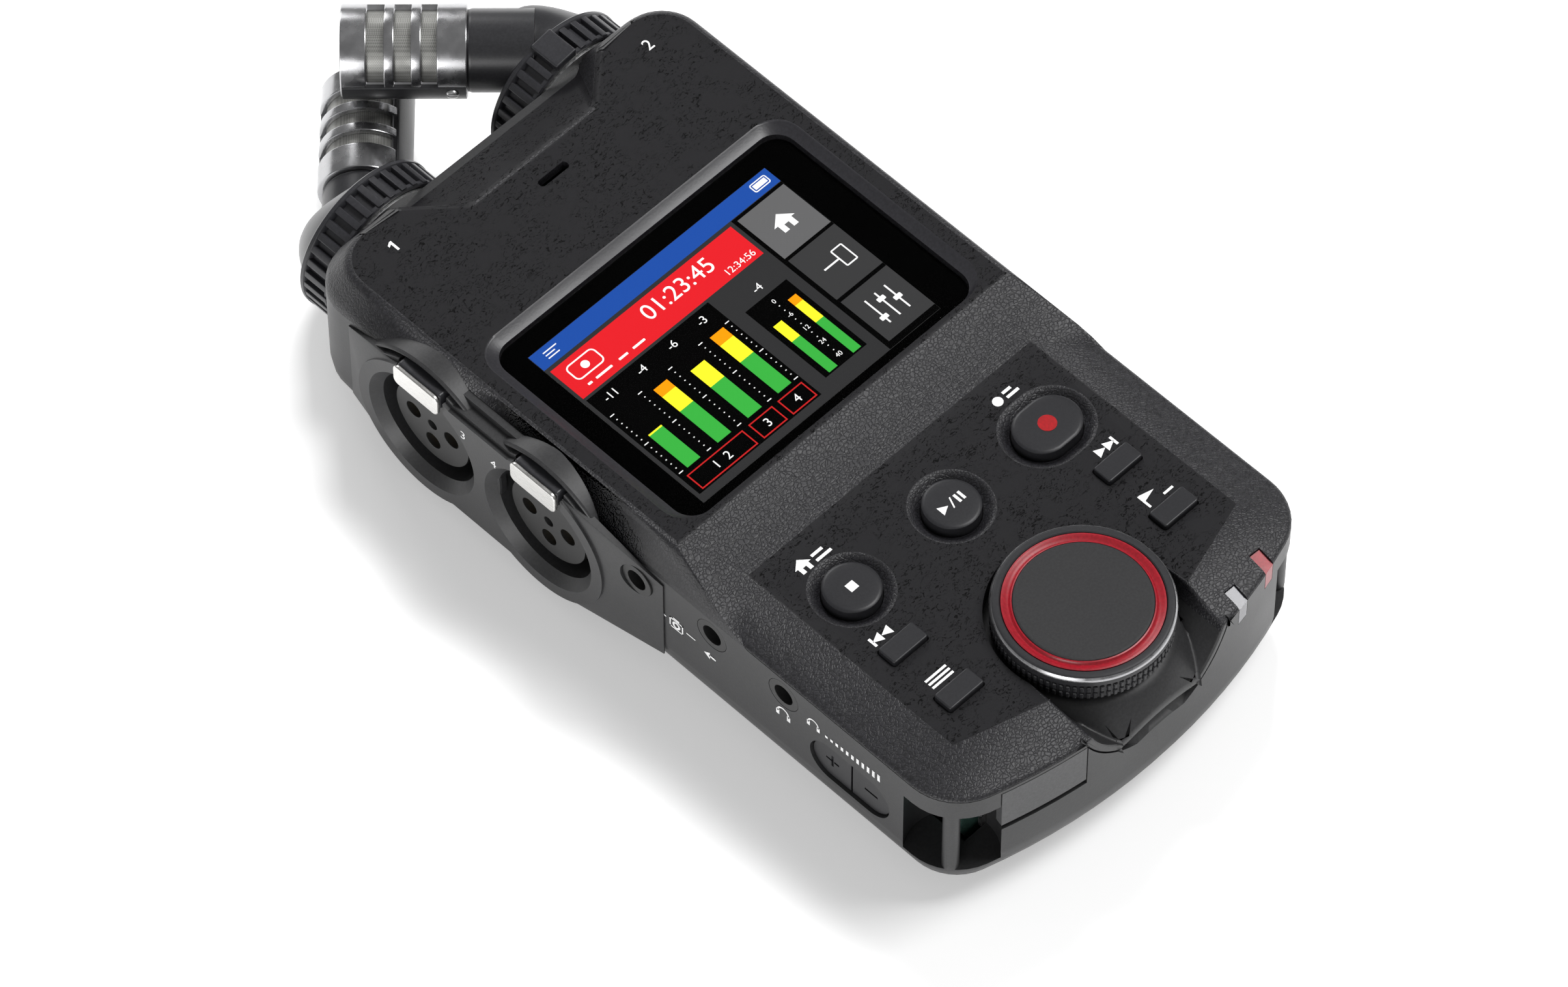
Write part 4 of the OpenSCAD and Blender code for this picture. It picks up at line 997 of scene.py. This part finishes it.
house = [(-2.1, -0.1), (-1.4, -0.1), (-1.4, -1.7), (-0.45, -1.7), (-0.45, -0.5), (0.45, -0.5), (0.45, -1.7),
         (1.4, -1.7), (1.4, -0.1), (2.1, -0.1), (0, 1.75)]
shapes["white"].append(prism("patch", [(houseX + x, houseY + y) for x, y in house], iconLow, iconTop))
patch("white", 411, 191, 444, 194, 3)
arrowX, arrowY = onScreen(446, 192.5)
arrow = [(arrowX - 0.4, arrowY - 0.9), (arrowX + 1.1, arrowY), (arrowX - 0.4, arrowY + 0.9)]
shapes["white"].append(prism("patch", arrow, iconLow, iconTop))
frameBox("white", 440, 174, 463, 211, 2.5, 2.2, 3, "mid")
for u, knob in ((413, 312), (433, 286), (453, 300)):
    patch("white", u - 1.4, 272, u + 1.4, 325, 3)
    patch("white", u - 7, knob - 4, u + 7, knob + 4, 4, 1.5)
lit = {name: lightSource("screen" + name.capitalize(), color, 1.0) for name, color in glow.items()}
for name, parts in shapes.items():
    finished(gather("screen" + name.capitalize(), parts), "body", "screen_panel", lit[name], weighted=False)
mask = prism("screenMask", roundedBox(59.4, 41.9, 3.45, 0, glass["y"]), 29.86, 29.985)
cut(mask, slab("maskHole", -25.5, 23.75, -2.27, 34.45, 29, 31))
finished(mask, "body", "screen_glass", maskBlack)
cover = prism("displayGlass", roundedBox(59.5, 42, 3.5, 0, glass["y"], 12), 30, 31, 0.12, 2)
finished(cover, "body", "screen_glass", clearGlass, replaces=("display_glass",))
print("display ready")

# white prints, as thin raised shapes
prints = {"thick": 0.03, "lift": 0.012}
deck, panel = case["deckZ"] + prints["lift"], case["panelZ"] + prints["lift"]
one = [(0.1, -1), (0.5, -1), (0.5, 1), (0.15, 1), (-0.45, 0.6), (-0.45, 0.2), (0.1, 0.5)]
ink = [letters("2", 2.9, prints["thick"], (26.6, 61.9, deck))]


def printed(points, z=panel):
    ink.append(prism("print", points, z - 0.015, z + 0.02))


def bar(x0, y0, x1, y1, z=panel):
    printed([(x0, y0), (x1, y0), (x1, y1), (x0, y1)], z)


printed([(-26.4 + x, 61.9 + y) for x, y in one], deck)
printed([(-22.6 + x * 0.75, -19.6 + y * 0.75) for x, y in house])
bar(-20.6, -20.7, -17.6, -20.2)
bar(-20.6, -19.6, -18.4, -19.1)
printed(arc(18.1, -19.4, 0.85, 0, 354, 30))
bar(19.6, -20.1, 22, -19.6)
bar(19.6, -19.1, 21.3, -18.6)
skipY = -36.2
for x, sign in ((-22.6, -1), (22.6, 1)):  # skip arrows
    for shift in (-1.1, 0.7):
        base = x + shift * sign
        points = [(base, skipY - 0.85), (base + 1.75 * sign, skipY), (base, skipY + 0.85)]
        printed(points if sign > 0 else points[::-1])
    bar(x + 2.45 * sign - 0.22, skipY - 0.85, x + 2.45 * sign + 0.22, skipY + 0.85)
for step in range(3):
    bar(-24.6, -48.0 + step * 0.75, -20.4, -47.6 + step * 0.75)
bar(20.1, -48.2, 20.5, -45.6)
printed([(20.5, -46.9), (22.9, -46.25), (20.5, -45.6)])
bar(23.3, -48.1, 25.2, -47.7)
finished(gather("deckPrints", ink), "body", "casing", whiteInk, weighted=False)


def keyPrint(name, body, shapesOnCap, material):
    pieces = [prism("print", points, 29.66, 29.735) for points in shapesOnCap]
    finished(gather(name, pieces), body, "key_plastic", material, weighted=False)


row = buttons["row"]


def capBar(x0, x1, half, slant=0):
    return [(x0, row - half), (x1, row - half), (x1 + slant, row + half), (x0 + slant, row + half)]


keyPrint("stopMark", "stop_key", [capBar(-21.35, -19.85, 0.75)], whiteInk)
playShapes = [[(-2.3, row - 0.85), (-0.75, row), (-2.3, row + 0.85)], capBar(-0.45, -0.2, 0.9, 0.75),
              capBar(0.95, 1.4, 0.8), capBar(1.8, 2.25, 0.8)]
keyPrint("playMark", "play_key", playShapes, whiteInk)
keyPrint("recordMark", "record_key", [arc(20, row, 1.45, 0, 352, 44)], redInk)

sideInk = []
wall, housingFace = -37.428, -39.62


def sidePrint(points):  # points run along the body and upwards
    sideInk.append(moved(fromLeft(prism("print", points, 0, prints["thick"])), (wall, 0, 0)))


def sideBar(y0, z0, y1, z1):
    sidePrint([(y0, z0), (y1, z0), (y1, z1), (y0, z1)])


def sideRing(y, z, outer, inner, start, stop):
    sidePrint(arc(y, z, outer, start, stop, 16) + arc(y, z, inner, stop, start, 16))


def headphones(y, z, size=1.0):
    sideRing(y, z, 1.25 * size, 0.95 * size, -15, 195)
    for sign in (-1, 1):
        padY = y + sign * 1.1 * size
        sideBar(padY - 0.32 * size, z - 1.1 * size, padY + 0.32 * size, z + 0.1)


for y, z, number in ((33.6, 25.2, "3"), (27.2, 24.4, "4")):
    digit = letters(number, 2.4, prints["thick"], (0, 0, 0))
    digit.data.transform(Matrix.Diagonal((-1, 1, 1, 1)))  # turning to face -X mirrors it back
    flipped(digit)
    sideInk.append(moved(fromLeft(digit), (housingFace, y, z)))
sideBars = [(-1.8, 16.4, -0.6, 16.8), (-4.6, 17.4, -6.4, 17.65), (-10.6, 17.4, -12.4, 17.65),
            (-9.9, 16.1, -7.1, 16.35), (-9.9, 18.1, -7.1, 18.35), (-9.9, 16.1, -9.65, 18.35),
            (-7.35, 16.1, -7.1, 18.35), (-9.1, 18.3, -7.9, 18.8), (-16.6, 16.4, -15.2, 16.8)]
for corners in sideBars:
    sideBar(*corners)
for y in (-0.8, -15.4):  # arrowheads
    sidePrint([(y + 1.2, 16.6), (y, 15.8), (y, 17.4)])
sideRing(-8.5, 17.2, 0.8, 0.42, 0, 360)
headphones(-30.4, 17.6)
headphones(-36.5, 21.2, 0.9)
for step in range(11):
    sideBar(-39.4 - step * 1.05, 20.5, -38.9 - step * 1.05, 21 + step * 0.11)
for piece in sideInk:
    flipped(piece)
finished(gather("sidePrints", sideInk), "body", "rear_casing", whiteInk, weighted=False)
print("prints ready")

# the camera, the floor and the light
view = {"target": (-15.83, -10.63, 31), "azimuth": -45.16, "elevation": 55.17, "distance": 1275.7,
        "lens": 202.15, "shift": -0.0049}
turn, lift = math.radians(view["azimuth"]), math.radians(view["elevation"])
back = Vector((math.sin(turn) * math.cos(lift), -math.cos(turn) * math.cos(lift), math.sin(lift)))
useNothing()
bpy.ops.object.camera_add(location=(Vector(view["target"]) + back * view["distance"]) * mm)
camera = named("camera")
camera.rotation_euler = back.to_track_quat("Z", "Y").to_euler()
camera.data.lens, camera.data.sensor_width, camera.data.shift_x = view["lens"], 36, view["shift"]
camera.data.clip_start, camera.data.clip_end = 0.05, 20
bpy.context.scene.camera = camera

floorMaterial = principled("floorPaint", (0.86, 0.86, 0.86), 0.7, Emission_Color=(1, 1, 1, 1),
                           Emission_Strength=0.3)
floorNoise = noise(floorMaterial, objectCoords(floorMaterial), 6)
shaderInput(floorMaterial, "Roughness", greyRamp(floorMaterial, floorNoise, 0.3, 0.7, 0.65, 0.8))
bpy.ops.mesh.primitive_plane_add(size=6, location=(0, 0, -0.0005))
floor = named("floor")
floor.data.materials.append(floorMaterial)

world = bpy.data.worlds.new("studio")
bpy.context.scene.world = world
world.use_nodes = True
world.node_tree.nodes["Background"].inputs["Color"].default_value = (1, 1, 1, 1)
world.node_tree.nodes["Background"].inputs["Strength"].default_value = 0.26
bpy.context.scene.view_settings.view_transform = "Standard"

lights = {  # direction from the middle, distance, size, power, seen in reflections
    "keyLight": ((0.42, -0.28, 0.88), 1.3, 0.5, 9, True),
    "shadowLight": ((0.42, 0.42, 0.80), 1.3, 0.35, 13, False),
    "backLight": ((0.35, 0.80, 0.48), 1.3, 0.5, 3.5, True),
    "sideLight": ((-0.95, -0.45, 0.30), 1.4, 0.6, 8, True),
}
for name, (direction, distance, size, power, mirrored) in lights.items():
    place = Vector(direction).normalized() * distance
    bpy.ops.object.light_add(type="AREA", location=place)
    light = named(name)
    light.rotation_euler = place.to_track_quat("Z", "Y").to_euler()
    light.data.size, light.data.energy = size, power
    light.visible_glossy = mirrored
print("camera, floor and light ready")
